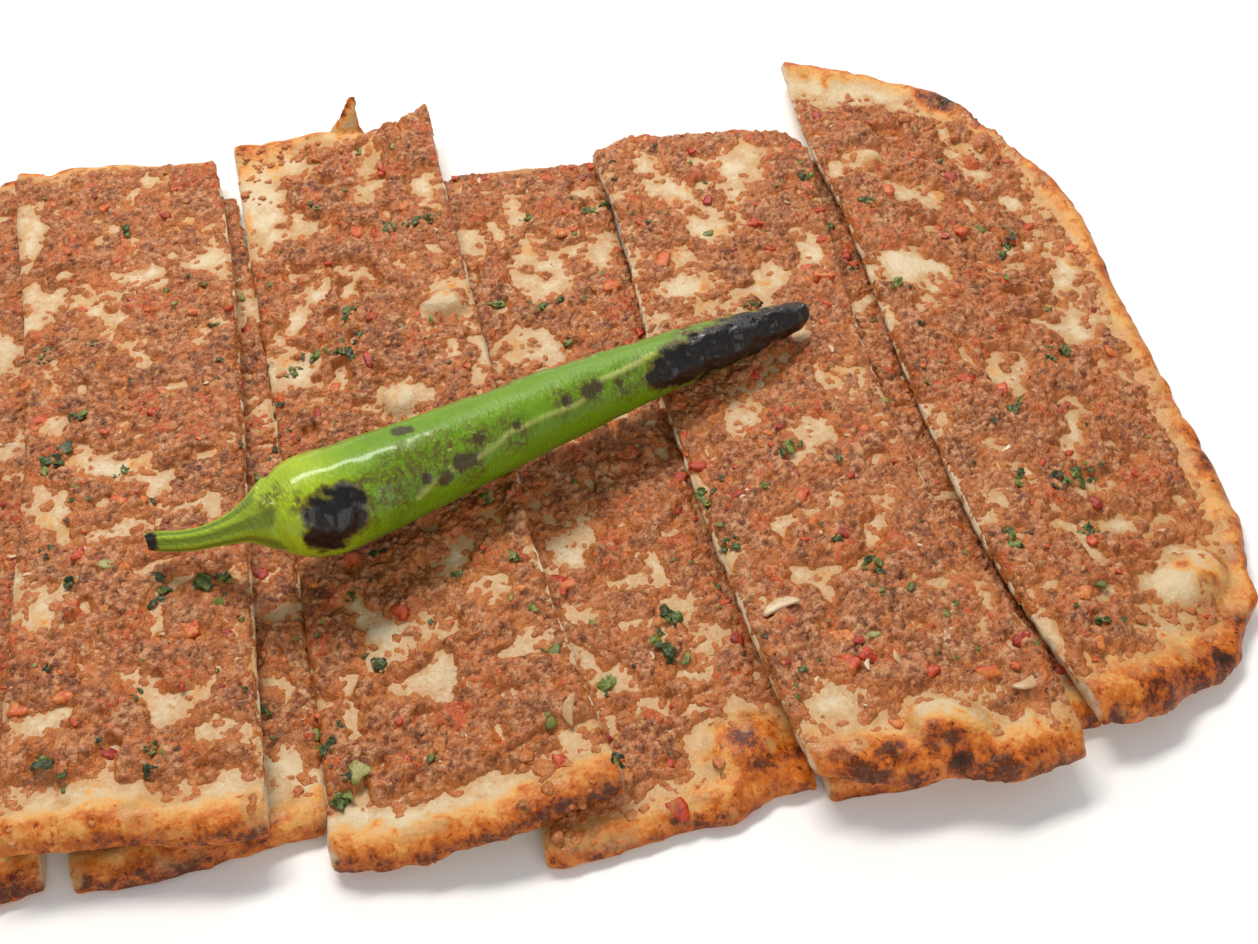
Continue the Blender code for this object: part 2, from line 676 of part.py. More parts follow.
def make_toppings(part, meat, covers, tools):
    """Parsley, tomato and onion pressed into the meat where nothing lies over it."""
    draw = random.Random(60 + part.number)
    tree = tree_of(meat)
    kinds = (
        (leaf_piece, PARSLEY), (dice_piece, TOMATO), (leaf_piece, PARSLEY), (onion_piece, ONION),
        (dice_piece, TOMATO), (leaf_piece, PARSLEY),
    )
    placed = []
    for _ in range(400):
        if len(placed) == TOPPINGS_PER_SLICE:
            break
        u, v = draw.uniform(0.14, 0.86), draw.uniform(0.12, 0.88)
        x, y = part.place(u, v)
        make, size = kinds[len(placed)]
        if any(math.dist((x, y), spot) < TOPPING_SPACING for spot in placed):
            continue
        if any(in_ellipse(patch, x, y, grow=size[0] * 0.75) for patch in part.form["bare"]):
            continue
        if any(in_ellipse(patch, x, y, grow=size[0] * 0.75) for patch in part.form["bubbles"]):
            continue
        if any(is_inside(ring, x + dx, y) for ring in covers for dx in (-size[0], 0, size[0])):
            continue
        if pepper_distance(x, y) < size[0]:
            continue
        ground = surface_height([tree], x, y)
        if ground is None:
            continue
        placed.append((x, y))
        bm = make(size)
        turned = Matrix.Rotation(draw.uniform(0, math.tau), 4, "Z")
        bm.transform(Matrix.Translation((x, y, ground + size[2] / 2 - size[3])) @ turned)
        add_object("topping", bm, tools)


def pepper_distance(x, y):
    """Plan distance from a point to the side of the pepper."""
    return min(math.dist((x, y), point[:2]) - point[2] for point in PEPPER_SPINE)


def pepper_rest(trees):
    """Straight line, as height at x, that the pepper's axis takes on its two contacts."""
    needed = []
    across_x, across_y = PEPPER_ACROSS
    for x, y, radius, sink in PEPPER_SPINE:
        heights = []
        for share in np.linspace(-0.95, 0.95, 15):
            offset = share * radius
            ground = surface_height(trees, x + across_x * offset, y + across_y * offset)
            if ground is not None:
                heights.append(ground + radius * math.sqrt(1 - share**2))
        needed.append((x, max(heights) + sink + GAP))
    best = None
    for left_x, left_z in needed:
        for right_x, right_z in needed:
            if left_x < BALANCE_X < right_x:
                slope = (right_z - left_z) / (right_x - left_x)
                at_balance = left_z + slope * (BALANCE_X - left_x)
                if best is None or at_balance > best[0]:
                    best = (at_balance, slope)
    return best


def make_pepper(trees, collection):
    """Stem, cap and fruit as one loft along the spine."""
    at_balance, slope = pepper_rest(trees)
    spine = []
    for x, y, _, sink in PEPPER_SPINE:
        spine.append(Vector((x, y, at_balance + slope * (x - BALANCE_X) - sink)))
    bm = bmesh.new()
    rings = []
    for index, centre in enumerate(spine):
        forward = (spine[min(index + 1, len(spine) - 1)] - spine[max(index - 1, 0)]).normalized()
        side = forward.cross(Vector((0, 0, 1))).normalized()
        up = side.cross(forward)
        radius = PEPPER_SPINE[index][2]
        lobe = PEPPER_LOBE_DEPTH if index >= STEM_POINTS else 0.0
        ring = []
        for step in range(PEPPER_SIDES):
            angle = math.tau * step / PEPPER_SIDES
            reach = radius * (1 - lobe * (0.5 + 0.5 * math.cos(PEPPER_LOBES * angle + 0.8)))
            offset = side * math.cos(angle) + up * math.sin(angle)
            ring.append(bm.verts.new(centre + offset * reach))
        rings.append(ring)
    for ring, following in zip(rings, rings[1:]):
        for step in range(PEPPER_SIDES):
            after = (step + 1) % PEPPER_SIDES
            bm.faces.new((ring[step], ring[after], following[after], following[step]))
    bm.faces.new(rings[0])
    bm.faces.new(rings[-1])
    bmesh.ops.recalc_face_normals(bm, faces=bm.faces[:])
    bmesh.ops.triangulate(bm, faces=bm.faces[:])
    return add_object("pepper", bm, collection)


def make_material(name, colour, roughness):
    material = bpy.data.materials.new(name)
    material.use_nodes = True
    shader = material.node_tree.nodes["Principled BSDF"]
    shader.inputs["Base Color"].default_value = (*colour, 1)
    shader.inputs["Roughness"].default_value = roughness
    shader.inputs["Metallic"].default_value = 0.0
    material.diffuse_color = (*colour, 1)
    return material


def new_collection(name):
    collection = bpy.data.collections.new(name)
    bpy.context.scene.collection.children.link(collection)
    return collection


def build():
    for obj in list(bpy.data.objects):
        bpy.data.objects.remove(obj)
    pide = new_collection("ground_meat_pide")
    tools = new_collection("tools")
    bread_material = make_material("bread", BREAD_COLOUR, 0.75)
    meat_material = make_material("meat", MEAT_COLOUR, 0.55)
    pepper_material = make_material("pepper", PEPPER_COLOUR, 0.3)

    slices = {number: Slice(number, form) for number, form in SLICES.items()}
    trees = {}
    order = sorted(slices, key=lambda number: (len(SLICES[number]["on"]), number))
    for number in order:
        part = slices[number]
        below = [tree for other in part.form["on"] for tree in trees[other]]
        covers = [slices[other].outline() for other in part.form["over"]]

        bread = make_bread(part, below, pide)
        plain_tree = tree_of(bread)
        make_bubbles(part, bread, tools)
        if number == 4:
            make_horn(bread, tools)
        if tools.objects:
            combine(bread, tools, "UNION")
        keep_largest(bread)
        bread.data.materials.append(bread_material)

        bubbles = []
        for x, y, half_length, half_width, turn, _ in part.form["bubbles"]:
            bubbles.append((x, y, half_length + HOLE_CLEAR, half_width + HOLE_CLEAR, turn))
        meat = make_meat(part, plain_tree, bubbles, pide)
        make_holes([*part.form["bare"], *bubbles], number, tools)
        combine(meat, tools, "DIFFERENCE")
        keep_largest(meat)
        make_toppings(part, meat, covers, tools)
        if tools.objects:
            combine(meat, tools, "UNION")
        keep_largest(meat)
        meat.data.materials.append(meat_material)
        trees[number] = [tree_of(bread), tree_of(meat)]

    pepper = make_pepper([tree for pair in trees.values() for tree in pair], pide)
    pepper.data.materials.append(pepper_material)
    for obj in pide.objects:
        obj.data.transform(Matrix.Scale(MM, 4))
    pepper.data.shade_smooth()
    bpy.data.collections.remove(tools)


build()
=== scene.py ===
import math

import bpy
import numpy as np
from mathutils import Matrix, Vector
from mathutils.bvhtree import BVHTree
from mathutils.kdtree import KDTree


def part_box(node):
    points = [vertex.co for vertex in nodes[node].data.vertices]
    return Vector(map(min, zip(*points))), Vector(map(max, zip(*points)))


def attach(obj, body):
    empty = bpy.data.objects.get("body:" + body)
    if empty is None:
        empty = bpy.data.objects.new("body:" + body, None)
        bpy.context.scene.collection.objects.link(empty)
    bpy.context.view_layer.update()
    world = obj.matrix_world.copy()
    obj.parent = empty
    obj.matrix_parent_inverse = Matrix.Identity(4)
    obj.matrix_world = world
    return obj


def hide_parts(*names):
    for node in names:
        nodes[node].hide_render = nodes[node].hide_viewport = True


# Looks of a ground meat pide: eight slices of bread with meat on them, and a grilled pepper.
# Lengths in the dictionaries are millimetres, colours are as a paint program shows them, 0 to 255.

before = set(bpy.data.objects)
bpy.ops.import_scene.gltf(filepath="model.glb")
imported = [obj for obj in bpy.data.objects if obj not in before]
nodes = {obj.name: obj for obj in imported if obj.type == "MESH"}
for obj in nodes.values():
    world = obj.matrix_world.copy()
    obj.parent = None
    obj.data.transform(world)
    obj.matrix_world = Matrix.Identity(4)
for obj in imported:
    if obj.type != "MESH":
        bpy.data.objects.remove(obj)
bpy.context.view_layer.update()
mm = 0.001
down = Vector((0, 0, -1))
highUp = 90.0  # rays that look down on the food start here
tiny = 1e-9  # keeps a division by nothing from failing
almostAll = 0.999  # a mean below this has an empty cell in it
print("frame loaded")

# The camera, the lights and the floor are placed in metres
cameraLook = {
    "place": (-0.0304, -0.2933, 0.3302),
    "direction": (0.1506, 0.6249, -0.7660),
    "lens": 44.41,
    "sensor": 36.0,
    "photoWidth": 1258,
    "photoHeight": 944,
}
lightLook = {
    "sky": 0.36,
    "key": {"place": (-0.12, 0.52, 0.92), "size": (0.7, 0.22), "power": 11.0, "colour": (255, 249, 240)},
    "rear": {"place": (0.45, 0.75, 0.6), "size": (0.7, 0.7), "power": 2.0, "colour": (250, 252, 255)},
    "front": {"place": (0.2, -0.95, 0.5), "size": (0.8, 0.8), "power": 3.5, "colour": (255, 252, 248)},
    "floor": (246, 246, 246),
    "floorSize": 6.0,
    "floorDrop": 0.0002,  # keeps the floor clear of the dough
    "floorRoughness": 0.9,
}


def linear(colour):
    # From the 0 to 255 of a paint program to what a shader takes
    share = np.array(colour, float) / 255
    return tuple(np.where(share <= 0.04045, share / 12.92, ((share + 0.055) / 1.055) ** 2.4).tolist())


def makeCamera():
    data = bpy.data.cameras.new("camera")
    data.lens = cameraLook["lens"]
    data.sensor_width = cameraLook["sensor"]
    data.clip_start = 0.01
    camera = bpy.data.objects.new("camera", data)
    bpy.context.collection.objects.link(camera)
    camera.location = cameraLook["place"]
    camera.rotation_mode = "QUATERNION"
    camera.rotation_quaternion = Vector(cameraLook["direction"]).to_track_quat("-Z", "Y")
    bpy.context.scene.camera = camera
    return camera


def makeLights():
    scene = bpy.context.scene
    scene.view_settings.view_transform = "Standard"
    world = bpy.data.worlds.new("studio")
    world.use_nodes = True
    world.node_tree.nodes["Background"].inputs["Color"].default_value = (1, 1, 1, 1)
    world.node_tree.nodes["Background"].inputs["Strength"].default_value = lightLook["sky"]
    scene.world = world
    for name in ("key", "rear", "front"):
        look = lightLook[name]
        data = bpy.data.lights.new(name, "AREA")
        data.shape = "RECTANGLE"
        data.size, data.size_y = look["size"]
        data.energy = look["power"]
        data.color = linear(look["colour"])
        light = bpy.data.objects.new(name, data)
        light.location = look["place"]
        light.rotation_mode = "QUATERNION"
        light.rotation_quaternion = (-Vector(look["place"])).to_track_quat("-Z", "Y")
        scene.collection.objects.link(light)


def makeFloor():
    size, drop = lightLook["floorSize"], lightLook["floorDrop"]
    bpy.ops.mesh.primitive_plane_add(size=size, location=(0, 0, -drop))
    floor = bpy.context.object
    floor.name = "floor"
    material = bpy.data.materials.new("paleFloor")
    material.use_nodes = True
    shader = material.node_tree.nodes["Principled BSDF"]
    shader.inputs["Base Color"].default_value = (*linear(lightLook["floor"]), 1)
    shader.inputs["Roughness"].default_value = lightLook["floorRoughness"]
    floor.data.materials.append(material)


camera = makeCamera()
makeLights()
makeFloor()
print("camera, lights and floor made")

stirrers = (73856093, 19349663, 83492791, 2654435761, 2246822519, 3266489917)  # large odd numbers
lowBits, fewBits = 0xffffffff, 0xffffff


def scramble(cells, seed):
    # A steady random number from 0 to 1 for each cell of a lattice
    value = cells[..., 0] * stirrers[0] ^ cells[..., 1] * stirrers[1] ^ cells[..., 2] * stirrers[2]
    value = (value ^ (seed * stirrers[3])) & lowBits
    value = ((value ^ (value >> 15)) * stirrers[4]) & lowBits
    value = ((value ^ (value >> 13)) * stirrers[5]) & lowBits
    return ((value ^ (value >> 16)) & fewBits) / fewBits


def uneven(points, length, seed):
    # Smooth noise from -1 to 1 whose bumps are about this length apart
    scaled = points / length
    corner = np.floor(scaled).astype(np.int64)
    inside = scaled - corner
    inside = inside * inside * (3 - 2 * inside)
    total = np.zeros(points.shape[:-1])
    for step in np.ndindex(2, 2, 2):
        weight = np.prod(np.where(np.array(step) == 1, inside, 1 - inside), axis=-1)
        total += weight * scramble(corner + np.array(step), seed)
    return 2 * total - 1


def layers(points, waves, seeds):
    # Layers of noise to add up, each wave given by its length and height
    return [height * uneven(points, length, seed) for (length, height), seed in zip(waves, seeds)]


def flat(x, y):
    # Plan places as points that the noise takes
    return np.stack((x, y, np.zeros_like(x)), axis=-1)


def ease(value, low, high):
    # 0 below low, 1 above high, and smooth between them
    share = np.clip((value - low) / (high - low), 0, 1)
    return share * share * (3 - 2 * share)


def grains(x, y, spacing, seed, present, size, stretch, steps=0.0):
    # Domes set at random: their height, and a random tone of the one on top
    cellX, cellY = np.floor(x / spacing).astype(np.int64), np.floor(y / spacing).astype(np.int64)
    best = np.zeros(x.shape)
    tone = np.full(x.shape, 0.5)
    for stepX, stepY in np.ndindex(3, 3):
        cells = np.stack((cellX + stepX - 1, cellY + stepY - 1, np.zeros_like(cellX)), axis=-1)
        centreX = (cells[..., 0] + 0.05 + 0.9 * scramble(cells, seed)) * spacing
        centreY = (cells[..., 1] + 0.05 + 0.9 * scramble(cells, seed + 1)) * spacing
        radius = spacing * (size[0] + (size[1] - size[0]) * scramble(cells, seed + 2))
        angle = math.pi * scramble(cells, seed + 3)
        awayX, awayY = x - centreX, y - centreY
        along = (awayX * np.cos(angle) + awayY * np.sin(angle)) / stretch
        across = (awayY * np.cos(angle) - awayX * np.sin(angle)) * stretch**0.5
        inside = 1 - (along**2 + across**2) / radius**2
        chance = scramble(cells, seed + 4)
        dome = np.sqrt(np.clip(inside, 0, 1)) * radius / spacing * (0.75 + 0.5 * chance)
        dome += steps * scramble(cells, seed + 6) * (inside > 0)
        dome = np.where(present(centreX, centreY, chance), dome, 0)
        tone = np.where(dome > best, scramble(cells, seed + 5), tone)
        best = np.maximum(best, dome)
    return best, tone


def treeOf(points, faces):
    return BVHTree.FromPolygons(points.tolist(), faces.tolist())


def pointsOf(mesh):
    points = np.empty(len(mesh.vertices) * 3)
    mesh.vertices.foreach_get("co", points)
    return points.reshape(-1, 3)


def pieceTree(piece):
    piece.data.calc_loop_triangles()
    faces = np.empty(len(piece.data.loop_triangles) * 3, int)
    piece.data.loop_triangles.foreach_get("vertices", faces)
    return treeOf(pointsOf(piece.data) / mm, faces.reshape(-1, 3))


def nodeTree(name):
    return pieceTree(nodes[name])


def topOf(tree, x, y):
    # Height of a surface at plan places, and NaN beside it
    heights = np.full(x.shape, np.nan)
    for index in np.ndindex(x.shape):
        hit = tree.ray_cast(Vector((x[index], y[index], highUp)), down)[0]
        if hit is not None:
            heights[index] = hit.z
    return heights


def newPiece(name, points, faces, material, replaced, values):
    mesh = bpy.data.meshes.new(name)
    faces = faces.tolist() if isinstance(faces, np.ndarray) else faces
    mesh.from_pydata((points * mm).tolist(), [], faces)
    mesh.validate()
    piece = bpy.data.objects.new(name, mesh)
    bpy.context.collection.objects.link(piece)
    finishPiece(piece, material, replaced, values)
    return piece


def finishPiece(piece, material, replaced, values):
    # values are what the finish reads at each point
    for key, numbers in values.items():
        attribute = piece.data.attributes.new(key, "FLOAT", "POINT")
        attribute.data.foreach_set("value", np.asarray(numbers, np.float32))
    piece.data.materials.clear()
    piece.data.materials.append(material)
    piece.data.shade_smooth()
    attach(piece, "root")
    if replaced:
        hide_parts(*replaced)


class Finish:
    # A procedural material, built node by node
    def __init__(self, name, **uniform):
        self.material = bpy.data.materials.new(name)
        self.material.use_nodes = True
        self.tree = self.material.node_tree
        self.shader = self.tree.nodes["Principled BSDF"]
        for key, value in uniform.items():
            self.shader.inputs[key.replace("_", " ")].default_value = value
        self.place = self.tree.nodes.new("ShaderNodeTexCoord").outputs["Object"]

    def link(self, source, socket):
        if isinstance(source, (int, float)):
            socket.default_value = source
        elif isinstance(source, tuple):
            socket.default_value = (*linear(source), 1)
        else:
            self.tree.links.new(source, socket)

    def value(self, name):
        node = self.tree.nodes.new("ShaderNodeAttribute")
        node.attribute_name = name
        return node.outputs["Fac"]

    def noise(self, length, detail, rough=0.5, warp=0.0, shift=0.0):
        # Noise whose bumps are this many millimetres apart
        node = self.tree.nodes.new("ShaderNodeTexNoise")
        node.noise_dimensions = "4D"
        node.inputs["W"].default_value = shift
        node.inputs["Scale"].default_value = 1 / (length * mm)
        node.inputs["Detail"].default_value = detail
        node.inputs["Roughness"].default_value = rough
        node.inputs["Distortion"].default_value = warp
        self.link(self.place, node.inputs["Vector"])
        return node.outputs["Fac"]

    def cells(self, length):
        # Crumbs of this size: the distance from the middle of each, and two random tones
        wobble = 0.35  # how far their edges bend, for their size
        noise = self.tree.nodes.new("ShaderNodeTexNoise")
        noise.inputs["Scale"].default_value = 1.6 / (length * mm)
        self.link(self.place, noise.inputs["Vector"])
        shifted = self.tree.nodes.new("ShaderNodeVectorMath")
        shifted.operation = "MULTIPLY_ADD"
        self.link(noise.outputs["Color"], shifted.inputs[0])
        shifted.inputs[1].default_value = (2 * wobble * length * mm,) * 3
        self.link(self.place, shifted.inputs[2])
        node = self.tree.nodes.new("ShaderNodeTexVoronoi")
        node.inputs["Scale"].default_value = 1 / (length * mm)
        self.link(shifted.outputs[0], node.inputs["Vector"])
        parts = self.tree.nodes.new("ShaderNodeSeparateColor")
        self.link(node.outputs["Color"], parts.inputs[0])
        return node.outputs["Distance"], parts.outputs[0], parts.outputs[1]

    def math(self, kind, first, second):
        node = self.tree.nodes.new("ShaderNodeMath")
        node.operation = kind
        self.link(first, node.inputs[0])
        self.link(second, node.inputs[1])
        return node.outputs[0]

    def add(self, first, second):
        return self.math("ADD", first, second)

    def times(self, first, second):
        return self.math("MULTIPLY", first, second)

    def span(self, source, low, high, start=0.0, end=1.0):
        # start below low, end above high
        node = self.tree.nodes.new("ShaderNodeMapRange")
        node.interpolation_type = "SMOOTHSTEP"
        self.link(source, node.inputs["Value"])
        for key, number in zip(("From Min", "From Max", "To Min", "To Max"), (low, high, start, end)):
            node.inputs[key].default_value = number
        return node.outputs["Result"]

    def ramp(self, source, *stops):
        # stops are (place from 0 to 1, colour)
        node = self.tree.nodes.new("ShaderNodeValToRGB")
        elements = node.color_ramp.elements
        elements.remove(elements[1])
        for index, (spot, colour) in enumerate(stops):
            element = elements[0] if index == 0 else elements.new(spot)
            element.position = spot
            element.color = (*linear(colour), 1)
        self.link(source, node.inputs["Fac"])
        return node.outputs["Color"]

    def mix(self, share, first, second):
        node = self.tree.nodes.new("ShaderNodeMix")
        node.data_type = "RGBA"
        self.link(share, node.inputs[0])  # a colour mix has its factor, A and B at 0, 6 and 7
        self.link(first, node.inputs[6])
        self.link(second, node.inputs[7])
        return node.outputs[2]

    def colour(self, source):
        self.link(source, self.shader.inputs["Base Color"])

    def rough(self, source):
        self.link(source, self.shader.inputs["Roughness"])

    def bump(self, *layers):
        # layers are (height, millimetres)
        normal = None
        for height, depth in layers:
            node = self.tree.nodes.new("ShaderNodeBump")
            node.inputs["Strength"].default_value = 1.0
            node.inputs["Distance"].default_value = depth * mm
            self.link(height, node.inputs["Height"])
            if normal is not None:
                self.link(normal, node.inputs["Normal"])
            normal = node.outputs["Normal"]
        self.link(normal, self.shader.inputs["Normal"])


# "cut" names the sides that were cut, the others are the pide's rim. "above" names the slices that
# lie on this one. "crust" is how brown the rim is at each side, and "deep" how many times further
# in than usual it browns. "spill" is how far the meat runs on over the far rim, and "lip" how brown
# the rim's upper edge is. A bare patch is (x, y, half length, half width, turn in degrees). A burn
# is (pixel across, pixel down, reach, strength) in the photo, and one below zero is a pale spot.
sliceLook = {
    1: {
        "cut": ("right",),
        "above": (2,),
        "crust": {"left": 0.62, "bottom": 0.7, "top": 0.6},
        "bare": ((-133, 59, 11, 4, -87), (-158, -44, 13, 7, 40), (-170, 22, 12, 7, 100),
                 (-150, 84, 11, 7, 20), (-140, 22, 9, 6, 70), (-165, -75, 9, 5, 15), (-152, 40, 7, 4, 60)),
        "burns": ((4, 893, 6, 0.7), (24, 882, 3, 0.6)),
    },
    2: {
        "cut": ("left", "right"),
        "above": (),
        "spill": 1.2,
        "crust": {"bottom": 0.62, "top": 0.5},
        "bare": ((-125, 104, 13, 4, -88), (-123, 72, 10, 5, -85), (-103, 62, 17, 5, -70),
                 (-72, 81, 9, 5, -59), (-93, 76, 4, 3, -51), (-117, 36, 5, 2, -55), (-104, 5, 5, 2, -44),
                 (-93, -9, 7, 2, -35), (-118, -13, 12, 3, -59), (-98, -33, 5, 3, -80),
                 (-85, -43, 3, 3, -34), (-122, -42, 8, 3, 85), (-122, -77, 7, 2, -9),
                 (-77, -89, 7, 2, -20), (-95, -72, 3, 2, -83), (-72, -43, 4, 1, 87)),
        "burns": ((150, 858, 9, 0.45), (200, 852, 9, 0.5), (245, 838, 7, 0.5), (100, 860, 7, 0.35),
                  (40, 858, 5, 0.3)),
    },
    3: {
        "cut": ("left", "right"),
        "above": (2,),
        "crust": {"bottom": 0.66, "top": 0.5},
        "bare": ((-58, -3, 8, 1, 85), (-60, 18, 5, 4, -86), (-61, 63, 7, 2, 86), (-59, -54, 3, 3, -38),
                 (-64, -97, 6, 5, -43), (-90, 40, 12, 7, 70), (-90, -45, 12, 7, 110)),
        "burns": ((92, 888, 5, 0.8), (150, 884, 6, 0.8), (183, 872, 4, 0.7), (120, 888, 4, 0.5),
                  (212, 860, 4, 0.4)),
    },
    4: {
        "cut": ("left", "right"),
        "above": (),
        "lip": 0.55,
        "crust": {"bottom": 0.68, "top": 0.52},
        "deep": {"top": 1.4},
        "bare": ((-57, 103, 21, 6, 86), (-21, 105, 10, 4, 84), (-44, 91, 4, 3, -57), (-3, 96, 6, 5, -25),
                 (-45, 59, 13, 4, 64), (-29, 61, 9, 3, -55), (-13, 63, 4, 3, 88), (-53, 34, 8, 7, -73),
                 (-47, 16, 4, 3, -33), (1, 19, 11, 2, 87), (-18, -51, 7, 5, 20), (-11, -61, 4, 4, -61),
                 (2, -54, 5, 2, 79), (-34, -69, 10, 4, 27), (-33, -84, 7, 3, 5), (-55, -84, 3, 2, -25),
                 (-6, -109, 12, 2, 4), (-5, 43, 8, 7, -22), (-23, 9, 7.5, 6.5, 89)),
        "burns": ((250, 143, 4, 0.7), (280, 138, 5, 0.6), (310, 134, 4, 0.7), (240, 150, 3, 0.5),
                  (356, 95, 3, 0.8), (340, 118, 2.5, 0.5), (427, 112, 4, 0.8), (405, 112, 4, 0.5),
                  (560, 812, 6, 0.5), (600, 797, 6, 0.45), (480, 830, 5, 0.3), (425, 850, 5, 0.35),
                  (378, 868, 5, 0.35), (345, 872, 4, 0.35), (462, 292, 2.6, 0.75), (452, 286, 2, 0.8),
                  (470, 290, 1.8, 0.8), (446, 292, 1.4, 0.8), (388, 402, 2, 0.3), (350, 116, 8, -0.5),
                  (244, 172, 6, 0.35), (262, 152, 4, 0.4), (290, 145, 4, 0.4)),
    },
    5: {
        "cut": ("left", "right"),
        "above": (4, 6),
        "spill": 2.6,
        "crust": {"bottom": 0.58, "top": 0.85},
        "bare": ((24, 86, 8, 5, 81), (26, 59, 13, 10, 81), (6, 75, 10, 2, 80), (46, 61, 6, 5, 78),
                 (50, 90, 6, 3, 78), (17, 25, 11, 9, -18), (13, -43, 7, 7, -20), (24, -63, 5, 3, -14),
                 (11, -68, 4, 4, -30), (11, -88, 11, 3, -57), (28, -80, 2, 2, -12), (40, -84, 6, 4, 73),
                 (35, -74, 4, 2, -13), (27, -102, 10, 2, -4), (40, -117, 12, 11, 26)),
        "burns": ((513, 345, 3.5, 0.5), (534, 249, 5, 0.6), (768, 742, 17, 0.75), (745, 736, 6, 0.9),
                  (748, 715, 1.6, 0.9), (764, 712, 1.8, 0.9), (775, 722, 1.8, 0.9), (790, 726, 1.6, 0.7),
                  (718, 738, 1.6, 0.6), (778, 748, 1.4, 0.6), (803, 742, 1.8, 0.6), (770, 700, 1.5, 0.5),
                  (800, 752, 4, 0.4), (573, 842, 4, 0.5), (600, 850, 4.5, 0.55), (611, 838, 2.5, 0.4),
                  (602, 827, 2.5, 0.35), (714, 828, 4, 0.6), (752, 812, 3, 0.4), (525, 168, 6, 0.9),
                  (490, 176, 4, 0.7), (680, 830, 4, 0.3)),
    },
    6: {
        "cut": ("left", "right"),
        "above": (),
        "spill": 2.6,
        "crust": {"bottom": 0.96, "top": 0.6},
        "deep": {"bottom": 1.2},
        "bare": ((95, 79, 13, 6, 73), (73, 77, 9, 5, -75), (80, 60, 7, 6, -9), (69, 45, 5, 4, 72),
                 (66, 28, 10, 9, 70), (51, 36, 17, 2, 83), (107, 37, 10, 5, 71), (94, 32, 6, 5, -3),
                 (83, -2, 6, 4, -12), (99, -14, 6, 5, 17), (68, -21, 7, 5, 71), (84, -31, 5, 4, 1),
                 (70, -57, 6, 3, -12), (62, -118, 8, 7, 58), (107, -133, 8, 6, -3), (86, -128, 12, 9, -7)),
        "burns": ((896, 747, 4, 0.9), (936, 724, 3, 0.7), (929, 742, 3, 0.6), (964, 760, 5, 1.0),
                  (955, 737, 3, 0.6), (864, 777, 5, 0.8), (840, 790, 6, 0.7), (600, 150, 4, 0.5),
                  (700, 304, 4, 0.5), (1000, 762, 4, 0.5)),
    },
    7: {
        "cut": ("left", "right"),
        "above": (6, 8),
        "spill": 2.0,
        "crust": {"bottom": 0.75, "top": 0.6},
        "bare": ((113, 62, 8, 4, 60), (90, 20, 12, 7, 70), (88, -70, 12, 7, 110)),
        "burns": ((1090, 722, 5, 0.5),),
    },
    8: {
        "cut": ("left",),
        "above": (),
        "crust": {"right": 0.58, "bottom": 0.78, "top": 0.76},
        "deep": {"bottom": 1.9},
        "bare": ((148, 60, 7, 5, -7), (132, 29, 10, 7, -31), (136, 14, 8, 4, 67), (167, 30, 7, 5, -8),
                 (174, 75, 10, 7, 87), (183, 51, 8, 5, -7), (183, 19, 18, 5, 82), (178, -4, 9, 7, 40),
                 (148, -19, 4, 3, 35), (158, -44, 9, 4, 53), (133, -50, 3, 2, 57), (121, -35, 5, 3, 61),
                 (155, -64, 4, 3, -1), (158, -78, 7, 5, -4), (142, -71, 2, 2, 7), (149, -112, 8, 4, -8),
                 (138, 79, 6.5, 5.5, -5), (166, -98, 13, 10, 26)),
        "burns": ((945, 101, 8, 1.0), (925, 96, 5, 0.5), (1152, 403, 5, 0.55), (1155, 446, 3, 0.95),
                  (1202, 459, 5, 0.5), (1223, 660, 6, 1.0), (1155, 644, 4, 0.5), (1182, 564, 3, 0.8),
                  (1212, 577, 3.5, 0.85), (1229, 558, 3, 0.7), (1191, 547, 2.5, 0.6), (1149, 518, 4, 0.6),
                  (1230, 620, 6, 0.6), (1165, 695, 6, 0.5), (1120, 715, 5, 0.45), (990, 140, 4, 0.4),
                  (1040, 180, 4, 0.45), (1170, 430, 4, 0.45), (1210, 520, 4, 0.4), (870, 168, 4, 0.65),
                  (835, 112, 5, 0.4), (1195, 680, 6, 0.6)),
    },
}
planLook = {
    "step": 0.59,
    "border": 3.0,
    "coarseCells": 4,  # how many cells one face spans where another slice hides the meat
    "hiddenReach": 8.0,  # how far in under another slice the fine cells go
    "cutReach": 3.4,  # how far the meat is drawn out to a cut
    "rimFromCut": 1.5,  # nearer to a cut than this, the meat's edge is the cut's
    "sideCells": 4,  # cells over which the direction of a side is averaged
    "sideBlend": 5.0,  # how softly the crust of one side gives way to the next one's
}
farAway = 99.0


def soften(field, reach):
    # Mean over a square of cells
    padded = np.pad(field, reach, mode="edge")
    total = np.pad(padded.cumsum(0).cumsum(1), ((1, 0), (1, 0)))
    size = 2 * reach + 1
    corners = total[size:, size:] - total[:-size, size:] - total[size:, :-size] + total[:-size, :-size]
    return corners / size**2


def spread(mask, reach):
    # The mask grown by this many cells
    for axis in (0, 1):
        grown = mask.copy()
        for step in range(1, reach + 1):
            grown |= np.roll(mask, step, axis) | np.roll(mask, -step, axis)
        mask = grown
    return mask


def distanceTo(mask, plan):
    # Millimetres from each grid place to the nearest marked one
    spots = np.argwhere(mask)
    tree = KDTree(len(spots))
    for index, (row, column) in enumerate(spots):
        tree.insert((row, column, 0), index)
    tree.balance()
    distances = np.full(mask.shape, farAway)
    if len(spots):
        for row, column in np.ndindex(mask.shape):
            distances[row, column] = tree.find((row, column, 0))[2] * plan.step
    return distances


def filled(mask):
    # Closes the holes in a shape
    across = np.maximum.accumulate(mask, 1) & np.maximum.accumulate(mask[:, ::-1], 1)[:, ::-1]
    along = np.maximum.accumulate(mask, 0) & np.maximum.accumulate(mask[::-1], 0)[::-1]
    return across & along


